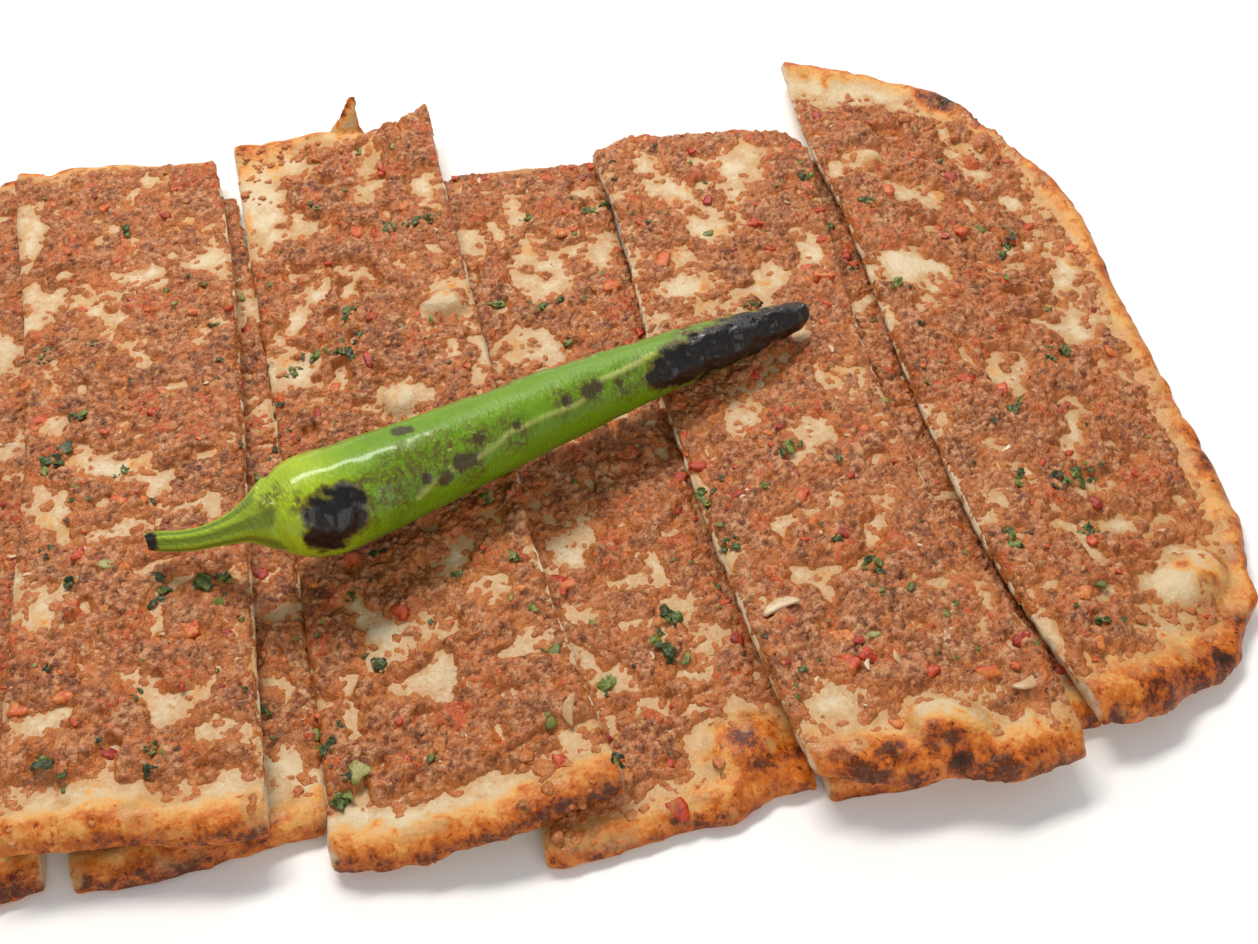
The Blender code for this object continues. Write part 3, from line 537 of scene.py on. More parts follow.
class Plan:
    # One slice seen from above on a fine grid
    def __init__(self, number):
        self.number = number
        self.look = sliceLook[number]
        self.step = planLook["step"]
        low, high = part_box(f"slice_{number}_bread")
        border, block = planLook["border"], planLook["coarseCells"]
        counts = []
        for axis in (0, 1):
            length = (high[axis] - low[axis]) / mm + 2 * border
            counts.append(int(math.ceil(length / self.step / block)) * block + 1)
        self.origin = np.array((low.x / mm - border, low.y / mm - border))
        across = self.origin[0] + self.step * np.arange(counts[0])
        along = self.origin[1] + self.step * np.arange(counts[1])
        self.x, self.y = np.meshgrid(across, along)
        self.cadBread = topOf(nodeTree(f"slice_{number}_bread"), self.x, self.y)
        self.cadMeat = topOf(nodeTree(f"slice_{number}_meat"), self.x, self.y)
        self.onBread = ~np.isnan(self.cadBread)
        self.topOutside = np.where(self.onBread, self.cadBread, np.nanmean(self.cadBread))
        self.measureSides()
        self.findHidden()

    def measureSides(self):
        outline = self.onBread.astype(float)
        outY, outX = np.gradient(-soften(outline, planLook["sideCells"]))
        edge = self.onBread & (soften(outline, 1) < almostAll)
        sideways = np.abs(outX) > np.abs(outY)
        sides = {"left": sideways & (outX < 0), "right": sideways & (outX > 0),
                 "bottom": ~sideways & (outY < 0), "top": ~sideways & (outY > 0)}
        isCut = np.zeros(edge.shape, bool)
        for side in self.look["cut"]:
            isCut |= sides[side]
        self.fromCut = distanceTo(edge & isCut, self)
        self.fromRim = distanceTo(edge & ~isCut, self)
        # How brown the rim is, and how far in, from the sides that are nearest
        brown, deep, weight = np.zeros(edge.shape), np.zeros(edge.shape), np.full(edge.shape, tiny)
        for side, tone in self.look["crust"].items():
            near = distanceTo(edge & ~isCut & sides[side], self)
            pull = np.exp(-near / planLook["sideBlend"])
            brown += pull * tone
            deep += pull * self.look.get("deep", {}).get(side, 1.0)
            weight += pull
        self.crustTone = brown / weight
        self.crustDepth = np.maximum(deep / weight, 1.0)
        # The meat runs on to the cuts, and over the far rim where "spill" says so
        meat = filled(~np.isnan(self.cadMeat))
        nearCut = self.fromCut < planLook["cutReach"]
        meat |= nearCut & spread(meat, int(planLook["cutReach"] / self.step))
        far = self.y > self.y.mean()
        meat |= far & spread(meat, int(self.look.get("spill", 0) / self.step))
        meat &= self.onBread
        clear = self.fromCut > planLook["rimFromCut"]
        rim = meat & (soften(meat.astype(float), 1) < almostAll) & clear
        self.insideMeat = distanceTo(rim, self) * np.where(meat, 1, -1)

    def findHidden(self):
        self.covered = np.zeros(self.x.shape, bool)
        for other in self.look["above"]:
            self.covered |= ~np.isnan(topOf(nodeTree(f"slice_{other}_bread"), self.x, self.y))
        self.hidden = ~spread(~self.covered, int(planLook["hiddenReach"] / self.step))

    def read(self, field, x, y):
        # A grid field's value at any plan place
        column = np.clip((x - self.origin[0]) / self.step, 0, field.shape[1] - 1.001)
        row = np.clip((y - self.origin[1]) / self.step, 0, field.shape[0] - 1.001)
        left, below = column.astype(int), row.astype(int)
        shareX, shareY = column - left, row - below
        lower = field[below, left] * (1 - shareX) + field[below, left + 1] * shareX
        upper = field[below + 1, left] * (1 - shareX) + field[below + 1, left + 1] * shareX
        return lower * (1 - shareY) + upper * shareY


breadLook = {
    "voxel": 1.0,
    "smoothing": 6,
    "smoothFactor": 0.5,
    "kept": 0.34,  # share of the faces kept after the remesh
    "lowest": 0.02,  # keeps the dough just over the floor
    "rimWidth": 16.0,
    "outward": 0.35,  # gives back what the smoothing takes from the cut sides
    "ragged": 0.6,  # unevenness of the rim's outer edge
    "raggedWaves": ((7.5, 1.0), (2.8, 0.5)),
    "relief": ((11.0, 0.5), (4.5, 0.3), (1.8, 0.13)),  # length and height of its uneven layers
    "blisterSpacing": 9.0,
    "blisterHeight": 1.5,
    "blisterSize": (0.3, 0.55),
    "blistered": 0.5,  # share of the places that have a blister
    "plainUnder": 0.75,  # how much flatter the underside is
    "plainCut": 0.6,  # how much flatter the cut sides are
    "cutWave": (3.1, 0.3),
    "poreSpacing": 2.3,
    "pores": 0.35,
    # How brown the crust is, by millimetres in from the rim
    "baked": ((0, 0.95), (2, 0.9), (4, 0.78), (8, 0.42), (11, 0.13), (20, 0.04)),
    "plainTone": 0.07,
    "mottle": 0.09,  # how strongly the patches show on plain dough
    "outerTone": 0.5,  # browning of the rim's outer side
    "patches": ((13, 0.5), (5, 0.35), (2.2, 0.2)),
    "lip": 0.25,
    "underTone": 0.34,
    "underPatches": ((9, 0.3), (3, 0.15)),
    "speckTone": 0.35,
    "blotchTone": 0.5,
    "ringTone": 0.45,  # browning round a burn
    "scarTone": 0.22,
    "wellBaked": 0.6,  # browning slows down from here
    "headroom": 0.32,  # and goes no further past it than this
    "palest": (212, 198, 170),
    "pale": (204, 178, 138),
    "golden": (216, 158, 86),
    "toasted": (196, 104, 30),
    "brown": (148, 66, 14),
    "darkest": (88, 36, 8),
    "black": (40, 24, 16),
    "crumb": (214, 196, 164),
    "greasy": (184, 140, 88),
    "speck": (186, 106, 52),
}


def breadFinish():
    look = breadLook
    finish = Finish("bakedDough", Roughness=0.62, Specular_IOR_Level=0.26)
    # Browned in patches, with freckles once the crust turns golden
    patchy = finish.span(finish.noise(3.8, 6, 0.7), 0.36, 0.64, 0.76, 1.2)
    brown = finish.times(finish.value("brown"), patchy)
    brown = finish.add(brown, finish.span(finish.noise(1.0, 3, 0.6), 0.2, 0.8, -0.08, 0.08))
    freckles = finish.span(finish.noise(1.5, 4, 0.65, 0.4, 7.0), 0.56, 0.66, 0.0, 0.26)
    brown = finish.add(brown, finish.times(freckles, finish.span(brown, 0.25, 0.6)))
    colour = finish.ramp(brown, (0.02, look["palest"]), (0.2, look["pale"]), (0.42, look["golden"]),
                         (0.66, look["toasted"]), (0.88, look["brown"]), (1.0, look["darkest"]))
    # Fat that the meat left, and red flecks beside it
    smear = finish.span(finish.noise(1.8, 5, 0.7), 0.25, 0.75, -0.4, 0.35)
    smear = finish.span(finish.add(finish.value("grease"), smear), -0.1, 1.0)
    colour = finish.mix(finish.times(smear, 0.85), colour, look["greasy"])
    dots = finish.times(finish.span(finish.noise(1.3, 2, 0.5), 0.62, 0.72), finish.value("flecks"))
    colour = finish.mix(dots, colour, look["speck"])
    # Pale crumb on the cut sides
    crumb = finish.span(finish.noise(2.2, 3), 0.25, 0.7, 0.55, 1.0)
    colour = finish.mix(finish.times(finish.value("crumb"), crumb), colour, look["crumb"])
    # Black burns with broken edges
    scorch = finish.span(finish.noise(2.6, 4, 0.65), 0.25, 0.75, -0.3, 0.3)
    scorch = finish.span(finish.add(finish.value("char"), scorch), 0.4, 0.85)
    finish.colour(finish.mix(scorch, colour, look["black"]))
    dull = finish.span(finish.value("grease"), 0.0, 1.0, 0.62, 0.3)
    finish.rough(finish.math("SUBTRACT", dull, finish.span(brown, 0.3, 0.8, 0.0, 0.22)))
    crumbs, _, _ = finish.cells(1.2)
    finish.bump((finish.noise(1.6, 5, 0.6), 0.35), (crumbs, 0.12), (finish.noise(0.5, 2, 0.5), 0.06))
    return finish.material


def spotOnPhoto(pixelX, pixelY, trees):
    # Where the line of sight through a pixel of the photo meets the food
    width, height = cameraLook["photoWidth"], cameraLook["photoHeight"]
    focal = cameraLook["lens"] / cameraLook["sensor"] * width
    ray = Vector((pixelX - width / 2, height / 2 - pixelY, -focal))
    ray = camera.rotation_quaternion @ ray.normalized()
    start = Vector(cameraLook["place"]) / mm
    best = None
    for tree in trees:
        spot, _, _, far = tree.ray_cast(start, ray)
        if spot is not None and (best is None or far < best[1]):
            best = (spot, far)
    return None if best is None else np.array(best[0])


def makeBread(plan, finish):
    number, look = plan.number, breadLook
    source = nodes[f"slice_{number}_bread"]
    piece = bpy.data.objects.new(f"slice{number}Bread", source.data.copy())
    bpy.context.collection.objects.link(piece)
    remesh = piece.modifiers.new("remesh", "REMESH")
    remesh.mode = "VOXEL"
    remesh.voxel_size = look["voxel"] * mm
    smooth = piece.modifiers.new("smooth", "SMOOTH")
    smooth.factor = look["smoothFactor"]
    smooth.iterations = look["smoothing"]
    applyAll(piece)
    points = pointsOf(piece.data) / mm
    normals = normalsOf(piece.data)
    points = points + normals * breadRelief(plan, points, normals)[:, None]
    points[:, 2] = np.maximum(points[:, 2], look["lowest"])
    piece.data.vertices.foreach_set("co", (points * mm).ravel())
    thinner = piece.modifiers.new("fewer", "DECIMATE")
    thinner.ratio = look["kept"]
    applyAll(piece)
    points = pointsOf(piece.data) / mm
    values = breadValues(plan, points, normalsOf(piece.data))
    finishPiece(piece, finish, (f"slice_{number}_bread",), values)
    return piece


def applyAll(piece):
    depsgraph = bpy.context.evaluated_depsgraph_get()
    mesh = bpy.data.meshes.new_from_object(piece.evaluated_get(depsgraph))
    piece.modifiers.clear()
    piece.data = mesh


def normalsOf(mesh):
    normals = np.empty(len(mesh.vertices) * 3)
    mesh.vertex_normals.foreach_get("vector", normals)
    return normals.reshape(-1, 3)


def breadRelief(plan, points, normals):
    # How far each point of the dough moves out along its normal
    look = breadLook
    x, y, facing = points[:, 0], points[:, 1], normals[:, 2]
    fromRim, fromCut = plan.read(plan.fromRim, x, y), plan.read(plan.fromCut, x, y)
    rim = 1 - ease(fromRim, 4, look["rimWidth"])
    height = np.zeros(len(points))
    for index, (length, size) in enumerate(look["relief"]):
        height += size * uneven(points, length, 60 + plan.number * 7 + index) * (0.7 + 0.6 * rim)

    def present(x, y, chance):
        return chance < look["blistered"]

    # Blisters on top of the rim, and a flatter underside
    domes, _ = grains(x, y, look["blisterSpacing"], 90 + plan.number, present, look["blisterSize"], 1.2)
    height += look["blisterHeight"] * domes * rim * ease(facing, 0.1, 0.8)
    height *= 1 - look["plainUnder"] * ease(-facing, 0.4, 0.8)
    # The cut sides are flatter, with pores
    cutFace = (1 - ease(fromCut, 1.0, 2.2)) * (1 - ease(np.abs(facing), 0.4, 0.8))
    height *= 1 - look["plainCut"] * cutFace
    length, size = look["cutWave"]
    height += size * cutFace * uneven(points, length, 74)
    height -= look["pores"] * cutFace * ease(uneven(points, look["poreSpacing"], 71), 0.15, 0.5)
    height += look["outward"] * cutFace
    rimFace = (1 - ease(fromRim, 0.8, 2.5)) * (1 - ease(np.abs(facing), 0.5, 0.9)) * (1 - cutFace)
    height += look["ragged"] * rimFace * sum(layers(points, look["raggedWaves"], (72, 73)))
    return height


def bell(away, narrow):
    # 1 in the middle, and less and less further out
    return np.exp(-((narrow * away) ** 2))


def breadValues(plan, points, normals):
    # What the finish reads at each point of the dough
    look, seed = breadLook, plan.number * 13
    x, y, facing = points[:, 0], points[:, 1], normals[:, 2]
    fromRim, fromCut = plan.read(plan.fromRim, x, y), plan.read(plan.fromCut, x, y)
    tone = plan.read(plan.crustTone, x, y)
    patchy = sum(layers(points, look["patches"], (seed, seed + 1, seed + 2)))
    inward = fromRim / plan.read(plan.crustDepth, x, y)
    baked = np.interp(inward, *zip(*look["baked"]))
    brown = look["plainTone"] + look["mottle"] * patchy + baked * tone * (1 + 0.5 * patchy)
    # The rim's outer side and its upper edge
    below = plan.read(plan.topOutside, x, y) - points[:, 2]
    outer = look["outerTone"] * tone * ease(below, 1.4, 3.6)
    brown += outer * (1 - ease(fromRim, 1, 5)) * (1 + 0.6 * patchy)
    brown += plan.look.get("lip", look["lip"]) * (1 - ease(fromRim, 0.4, 2.0)) * (1 + patchy)
    under = ease(-facing, 0.3, 0.7)
    underTone = sum(layers(points, look["underPatches"], (seed + 3, seed + 4)), look["underTone"])
    brown = brown * (1 - under) + under * underTone
    # Burns where the photo shows them: a brown ring, a darker middle and a black heart
    char, scar = np.zeros(len(points)), np.zeros(len(points))
    frayed = 1 + 0.35 * uneven(points, 3.2, seed + 5)
    for pixelX, pixelY, reach, strength in plan.look["burns"]:
        spot = spotOnPhoto(pixelX, pixelY, [plan.breadTree])
        if spot is not None:
            away = np.linalg.norm(points - spot, axis=1) / reach * frayed
            char = np.maximum(char, (1.6 * strength - 0.9) * bell(away, 1.25))
            brown = brown + look["ringTone"] * strength * bell(away, 1.15)
            scar = np.maximum(scar, strength * ease(bell(away, 1.3), 0.3, 0.7))
    # Small scorched specks on the rim, and toasted blotches further in
    specks = ease(uneven(points, 2.4, seed + 6), 0.5, 0.75) * (1 - ease(fromRim, 7, 16))
    blotches = ease(uneven(points, 6, seed + 7) + 0.4 * uneven(points, 1.8, seed + 8), 0.5, 1.0)
    brown = brown + look["speckTone"] * specks + look["blotchTone"] * blotches * ease(fromRim, 5, 12)
    well = look["wellBaked"]
    slowed = well + look["headroom"] * np.tanh((brown - well) / 0.5)
    brown = np.where(brown > well, slowed, brown) + look["scarTone"] * scar
    crumb = (1 - ease(fromCut, 0.6, 1.8)) * ease(0.75 - np.abs(facing), 0, 0.35) * ease(fromRim, 0.5, 3)
    share = plan.read(plan.share, x, y)
    topFace = ease(facing, 0.2, 0.7)
    return {
        "brown": brown,
        "char": char * (1 - crumb),
        "crumb": crumb,
        "grease": ease(share, -5.5, 0.5) * topFace,
        "flecks": ease(share, -9, 0) * topFace,
    }


meatLook = {
    "usual": 2.3,  # the layer's thickness where the solid has none
    "thickness": (1.6, 3.6),  # least and most
    "sink": 0.45,  # how far the sheet dips under the dough where there is no meat
    "body": 1.5,  # thickness left to the lumps and grains
    "heaped": 0.7,  # slow rise and fall of the layer
    "heapSpacing": 10,
    "shake": 0.3,  # keeps the crumbs' edges from following the grid
    "hang": 0.9,  # how far the layer's side comes down over the cuts
    "leastShown": 0.12,  # lower than this, the meat isn't seen
    # Grains of three sizes. "within" is how far inside the meat's edge they begin, and over how many
    # millimetres they get crowded. "stray" is the share of bare places that hold one.
    "lump": {"spacing": 5.2, "height": 1.25, "size": (0.45, 0.85), "steps": 0.0, "within": (1.0, 1.8)},
    "grain": {"spacing": 2.1, "height": 1.15, "size": (0.36, 0.66), "steps": 0.3, "within": (-2.9, 4.6),
              "stray": 0.035},
    "fine": {"spacing": 1.25, "height": 0.6, "size": (0.36, 0.6), "steps": 0.35, "within": (-2.4, 4.2)},
    "strayReach": 9,  # strays lie this near to the meat, and this far in from the rim
    "stretch": 1.3,  # how long the grains are for their width
    "bend": ((4.3, 1.5), (1.9, 0.7)),  # waves, by length and height, that bend the lumps
    "edgeWaves": ((9, 2.0), (3.5, 1.2)),
    "patchWaves": ((7, 2.8), (3, 1.1)),
    "patchFray": ((2.6, 1.1),),
    # Waves that thin the meat, open holes in it and leave islands: length, start and strength
    "thinned": (13, 0.5, 12),
    "holes": (5.5, 0.54, 8.0),
    "islands": (4.6, 0.44, 5.5),
    "islandFade": 0.4,  # how fast the islands end, away from the meat
    # painted shade: the colour laid into the crevices between the grains
    "creviceShadeColour": (62, 26, 8),
    "brown": (106, 52, 20),
    "pink": (158, 94, 50),
    "light": (202, 150, 104),
    "orange": (194, 102, 24),
    "rust": (190, 112, 48),
    "red": (196, 58, 18),
    "ruddy": (194, 96, 68),
}


def meatFinish():
    look = meatLook
    finish = Finish("bakedMeat", Roughness=0.5, Specular_IOR_Level=0.5)
    crumbs, crumbTone, crumbWarmth = finish.cells(1.5)
    specks, speckTone, _ = finish.cells(0.8)
    # Each grain, crumb and speck has a tone of its own
    tone = finish.add(finish.value("tone"), finish.span(crumbTone, 0.0, 1.0, -0.3, 0.3))
    tone = finish.add(tone, finish.span(speckTone, 0.0, 1.0, -0.18, 0.18))
    colour = finish.ramp(tone, (0.0, look["brown"]), (0.45, look["pink"]), (1.0, look["light"]))
    # Orange places where the fat is, and rust along the thin edges
    warm = finish.add(finish.noise(8, 4, 0.65), finish.times(finish.value("lumpTone"), 0.25))
    warm = finish.add(warm, finish.times(crumbWarmth, 0.35))
    colour = finish.mix(finish.times(finish.span(warm, 0.66, 1.0), 0.6), colour, look["orange"])
    edge = finish.span(finish.noise(3.0, 3, 0.6), 0.3, 0.7, 0.4, 1.0)
    colour = finish.mix(finish.times(finish.value("thin"), edge), colour, look["rust"])
    # Red and ruddy crumbs
    red = finish.span(finish.noise(3.0, 3, 0.6), 0.3, 0.7, -0.08, 0.08)
    red = finish.add(finish.value("lumpTone"), red)
    red = finish.add(red, finish.span(crumbWarmth, 0.0, 1.0, -0.22, 0.22))
    colour = finish.mix(finish.times(finish.span(red, 0.95, 1.1), 0.45), colour, look["red"])
    ruddy = finish.add(crumbTone, finish.times(finish.value("tone"), 0.3))
    colour = finish.mix(finish.times(finish.span(ruddy, 1.0, 1.2), 0.4), colour, look["ruddy"])
    # Painted shade: the crevices between the grains are darkened where shade falls
    finish.colour(finish.mix(finish.times(finish.value("creviceShade"), 0.55), colour, look["creviceShadeColour"]))
    finish.rough(finish.span(finish.noise(0.7, 3), 0.5, 0.62, 0.52, 0.12))
    finish.bump((crumbs, -0.45), (specks, -0.22), (finish.noise(0.6, 3, 0.65), 0.3))
    return finish.material


def meatShare(plan):
    # Millimetres inside the edge of the meat, below zero on bare dough
    look, seed, places = meatLook, plan.number * 10, flat(plan.x, plan.y)
    share = sum(layers(places, look["edgeWaves"], (seed, seed + 1)), plan.insideMeat)
    wavesX = layers(places, look["patchWaves"], (seed + 2, seed + 6))
    wavesY = layers(places, look["patchWaves"], (seed + 3, seed + 7))
    fray = layers(places, look["patchFray"], (seed + 4,))
    for x, y, halfLength, halfWidth, turn in plan.look["bare"]:
        angle = math.radians(turn)
        awayX, awayY = sum(wavesX, plan.x - x), sum(wavesY, plan.y - y)
        along = awayX * math.cos(angle) + awayY * math.sin(angle)
        across = awayY * math.cos(angle) - awayX * math.sin(angle)
        reach = np.sqrt((along / halfLength) ** 2 + (across / halfWidth) ** 2)
        gap = (reach - 1.08) * math.sqrt(halfLength * halfWidth) * 0.8
        share = np.minimum(share, sum(fray, gap))
    length, start, strength = look["thinned"]
    share = share - np.maximum(0, uneven(places, length, seed + 5) - start) * strength
    length, start, strength = look["holes"]
    share = np.minimum(share, strength * (start - uneven(places, length, seed + 8)))
    length, start, strength = look["islands"]
    island = strength * (uneven(places, length, seed + 9) - start)
    return np.maximum(share, island - look["islandFade"] * np.maximum(0, -plan.insideMeat))


def grainLayer(plan, kind, x, y, seed):
    # The domes of one size of grain, and their tones
    part, reach = meatLook[kind], meatLook["strayReach"]

    def present(x, y, chance):
        inside = plan.read(plan.share, x, y)
        near = (inside > -reach) & (plan.read(plan.fromRim, x, y) > reach)
        start, crowding = part["within"]
        return (inside > start + crowding * chance) | (near & (chance < part.get("stray", 0)))

    return grains(x, y, part["spacing"], seed, present, part["size"], meatLook["stretch"], part["steps"])


def makeMeat(plan, finish):
    look, share, seed = meatLook, plan.share, plan.number * 17
    top = plan.breadTop
    solid = plan.onBread & ~np.isnan(top)
    thickness = np.clip(plan.cadMeat - np.nan_to_num(top), *look["thickness"])
    thickness = soften(np.where(np.isnan(plan.cadMeat), look["usual"], thickness), 5)
    amount = ease(share, -1.0, 3.0)
    places = flat(plan.x, plan.y)
    bentX = sum(layers(places, look["bend"], (seed + 60, seed + 62)), plan.x)
    bentY = sum(layers(places, look["bend"], (seed + 61, seed + 63)), plan.y)
    lump, lumpTone = grainLayer(plan, "lump", bentX, bentY, seed)
    grain, tone = grainLayer(plan, "grain", plan.x, plan.y, seed + 10)
    fine, toneFine = grainLayer(plan, "fine", plan.x, plan.y, seed + 20)
    lumpHeight, grainHeight, fineHeight = (look[kind]["height"] for kind in ("lump", "grain", "fine"))
    heaped = look["heaped"] * uneven(places, look["heapSpacing"], seed + 65)
    height = amount * (thickness - look["body"] + heaped)
    height += lumpHeight * lump**1.5 + grainHeight * grain + fineHeight * fine
    height *= ease(plan.fromRim, 0.1, 1.4)
    z = np.nan_to_num(top) - look["sink"] + height
    # Painted shade: how far a place lies below the meat around it, for the finish to darken
    creviceShade = np.clip((soften(height, 2) - height - 0.2) / 0.7, 0, 1) * amount
    shown = solid & (height > look["leastShown"])
    plan.surface = np.where(shown, z, np.nan_to_num(top))
    # One more ring of places hangs down over the cuts, as the side of the layer
    ring = spread(solid, 1) & ~solid & (plan.fromCut < 2 * plan.step)
    mean = soften(np.where(solid, top, 0.0), 1) / np.maximum(soften(solid.astype(float), 1), tiny)
    z = np.where(ring, mean - look["hang"], z)
    faces, used = gridFaces(plan, shown, solid | ring)
    index = np.arange(z.size).reshape(z.shape)
    cells = np.stack((index, np.zeros_like(index), np.zeros_like(index)), axis=-1)
    shiftX, shiftY = scramble(cells, seed + 70) - 0.5, scramble(cells, seed + 71) - 0.5
    points = np.stack((plan.x + look["shake"] * shiftX, plan.y + look["shake"] * shiftY, z), axis=-1)
    points = points.reshape(-1, 3)[used]
    fields = {
        "tone": 0.65 * tone + 0.35 * toneFine,
        "lumpTone": lumpTone,
        "creviceShade": creviceShade,
        "thin": 1 - ease(share, -0.5, 2.6),
    }
    values = {key: field.ravel()[used] for key, field in fields.items()}
    name, replaced = f"slice{plan.number}Meat", f"slice_{plan.number}_meat"
    return newPiece(name, points, faces, finish, (replaced,), values)


def gridFaces(plan, shown, solid):
    # Four-sided faces over the places that show, large ones where another slice hides them
    rows, columns = shown.shape
    index = np.arange(rows * columns).reshape(rows, columns)
    block = planLook["coarseCells"]

    def corners(field, size):
        part = field[::size, ::size]
        return np.stack((part[:-1, :-1], part[:-1, 1:], part[1:, 1:], part[1:, :-1]), axis=-1)

    hiddenCells = corners(plan.hidden, 1).all(-1)
    blocks = hiddenCells.reshape(rows // block, block, columns // block, block).all((1, 3))
    big = corners(index, block)[blocks & corners(shown, block).any(-1) & corners(solid, block).all(-1)]
    inBlock = np.repeat(np.repeat(blocks, block, 0), block, 1)
    fine = corners(index, 1)[~inBlock & corners(shown, 1).any(-1) & corners(solid, 1).all(-1)]
    faces = np.concatenate((big, fine))
    used, renamed = np.unique(faces, return_inverse=True)
    return renamed.reshape(faces.shape), used


def makeSlice(number, breadMaterial, meatMaterial):
    plan = Plan(number)
    plan.breadTree = nodeTree(f"slice_{number}_bread")
    plan.share = meatShare(plan)
    bread = makeBread(plan, breadMaterial)
    plan.breadTop = topOf(pieceTree(bread), plan.x, plan.y)
    meat = makeMeat(plan, meatMaterial)
    plan.trees = [pieceTree(bread), pieceTree(meat)]
    breadFaces, meatFaces = len(bread.data.polygons), len(meat.data.polygons)
    print(f"slice {number}: bread {breadFaces} faces, meat {meatFaces} faces")
    return plan


breadMaterial, meatMaterial = breadFinish(), meatFinish()
plans = {number: makeSlice(number, breadMaterial, meatMaterial) for number in sliceLook}

# Angles run round the pepper from its underside. "char" and "marks" are chains of pixels in the
# photo, each with its reach in millimetres.
pepperLook = {
    "stationGap": 0.6,
    "sides": 108,
    "halfWidth": 22,  # no part of it lies further from the line between its ends
    "capEdge": 31.0,  # how far the cap reaches from the stem's end
    "capLip": 0.55,
    "capGroove": 0.35,
    "stemReach": 21.0,
    "lobes": 3,
    "lobeDepth": 0.05,
    "ridges": 7,
    "stemRidge": 0.14,
    "capRidge": 0.035,
    "tipLength": 3.0,
    "char": ((328, 538, 5.5), (338, 520, 7.5), (347, 505, 5.0), (664, 374, 4.5), (685, 364, 6.5),
             (710, 354, 7.5), (735, 344, 8.0), (758, 334, 8.0), (780, 324, 8.0), (800, 314, 9.0),
             (149, 545, 2.6)),
    "marks": ((372, 500, 7.0), (395, 487, 7.5), (420, 468, 7.0), (450, 452, 6.0), (480, 438, 5.5),
              (515, 432, 5.0), (475, 470, 4.0), (565, 403, 4.0), (592, 390, 4.5), (625, 385, 4.5),
              (650, 372, 5.0), (690, 332, 5.0), (270, 497, 3.5), (297, 505, 3.0)),
    "spots": ((463, 463, 2.3), (472, 460, 2.0), (447, 479, 2.2), (481, 438, 1.8), (518, 425, 1.4),
              (568, 401, 1.9), (590, 391, 2.4), (598, 386, 1.9), (427, 480, 1.6), (400, 430, 2.6),
              (408, 429, 1.8), (620, 383, 1.3)),
    "seams": (((419, 497), (438, 480), (480, 458), (500, 443), (508, 434), (546, 416), (577, 405),
               (588, 398)),
              ((600, 380), (620, 372), (639, 363), (655, 352))),
    "seamReach": 0.75,
    "seamGap": 3.0,  # pixels from one place on a seam to the next
    # Relief of the skin, by lengths and heights: everywhere, under the marks and in the char
    "skinWaves": ((14, 0.35), (4.5, 0.12)),
    "markWaves": ((3.0, 0.3), (1.5, 0.15)),
    "charWaves": ((3.6, 0.7), (1.7, 0.35)),
    "charDip": 0.2,
    "seamRise": 0.3,
    "spotDip": 0.25,
    "body": (118, 160, 8),
    "shoulder": (172, 196, 30),
    "deep": (82, 122, 4),
    # cap and stem: one green, the stem's a darker copy, painted as light on the ribs' crests and shade in
    # their grooves
    "cap": (148, 174, 34),
    "stem": (112, 134, 26),
    "mark": (88, 66, 22),
    "spot": (66, 48, 30),
    "seamLight": (196, 200, 112),
    "black": (14, 9, 6),
    "singed": (84, 54, 18),
    "ash": (112, 100, 90),
}


def slidingMean(rows, reach, mode):
    # Mean of each row with as many before it and after it
    padded = np.pad(rows, ((reach, reach), (0, 0)), mode=mode)
    return np.mean([padded[step:step + len(rows)] for step in range(2 * reach + 1)], axis=0)


def pepperRadii():
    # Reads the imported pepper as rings: their centres, and the radius at each angle
    tree, corners = nodeTree("pepper"), pointsOf(nodes["pepper"].data) / mm
    start, end = corners[corners[:, 0].argmin()], corners[corners[:, 0].argmax()]
    forward = np.array((end[0] - start[0], end[1] - start[1], 0.0))
    length = np.linalg.norm(forward)
    forward /= length
    side = np.array((-forward[1], forward[0], 0.0))
    gap, halfWidth = pepperLook["stationGap"], pepperLook["halfWidth"]
    stations = np.arange(gap, length - gap, gap)
    offsets = np.linspace(-halfWidth, halfWidth, 5 * halfWidth + 1)
    above, below = Vector((0, 0, 120)), Vector((0, 0, -60))
    centres = []
    for station in stations:
        base = np.array((start[0], start[1], 0)) + forward * station
        spots = []
        for offset in offsets:
            place = Vector(base + side * offset)
            top = tree.ray_cast(place + above, down)[0]
            bottom = tree.ray_cast(place + below, -down)[0]
            if top is not None and bottom is not None:
                spots.append((offset, (top.z + bottom.z) / 2))
        middle = spots[len(spots) // 2] if spots else middle
        centres.append(base + side * middle[0] + np.array((0, 0, middle[1])))
    centres = slidingMean(np.array(centres), 6, "edge")
    angles = np.linspace(0, math.tau, pepperLook["sides"], endpoint=False)
    spokes = side[None] * np.sin(angles)[:, None] - np.array((0, 0, 1))[None] * np.cos(angles)[:, None]
    radii = np.zeros((len(stations), len(angles)))
    for row, column in np.ndindex(radii.shape):
        far = tree.ray_cast(Vector(centres[row]), Vector(spokes[column]))[3]
        radii[row, column] = far if far is not None else radii[row - 1, column]
    radii = slidingMean(radii.T, 5, "wrap").T
    return stations, centres, angles, spokes, slidingMean(radii, 5, "edge")


def chainShare(points, chain, tree, seed, fray=0.3):
    # 1 in the middle of the marks that a chain of pixels names, falling to 0 beyond their reach
    share = np.zeros(len(points))
    frayed = fray * uneven(points, 2.6, seed)
    for pixelX, pixelY, reach in chain:
        spot = spotOnPhoto(pixelX, pixelY, [tree])
        if spot is not None:
            away = np.linalg.norm(points - spot, axis=1) / reach
            share = np.maximum(share, 1.6 - 1.1 * away + frayed)
    return np.clip(share, 0, 1)


def drawnOut(line):
    # More places along a line of pixels
    gap, places = pepperLook["seamGap"], []
    for (startX, startY), (endX, endY) in zip(line, line[1:]):
        count = max(1, round(math.hypot(endX - startX, endY - startY) / gap))
        for step in range(count):
            share = step / count
            places.append((startX + share * (endX - startX), startY + share * (endY - startY)))
    return places


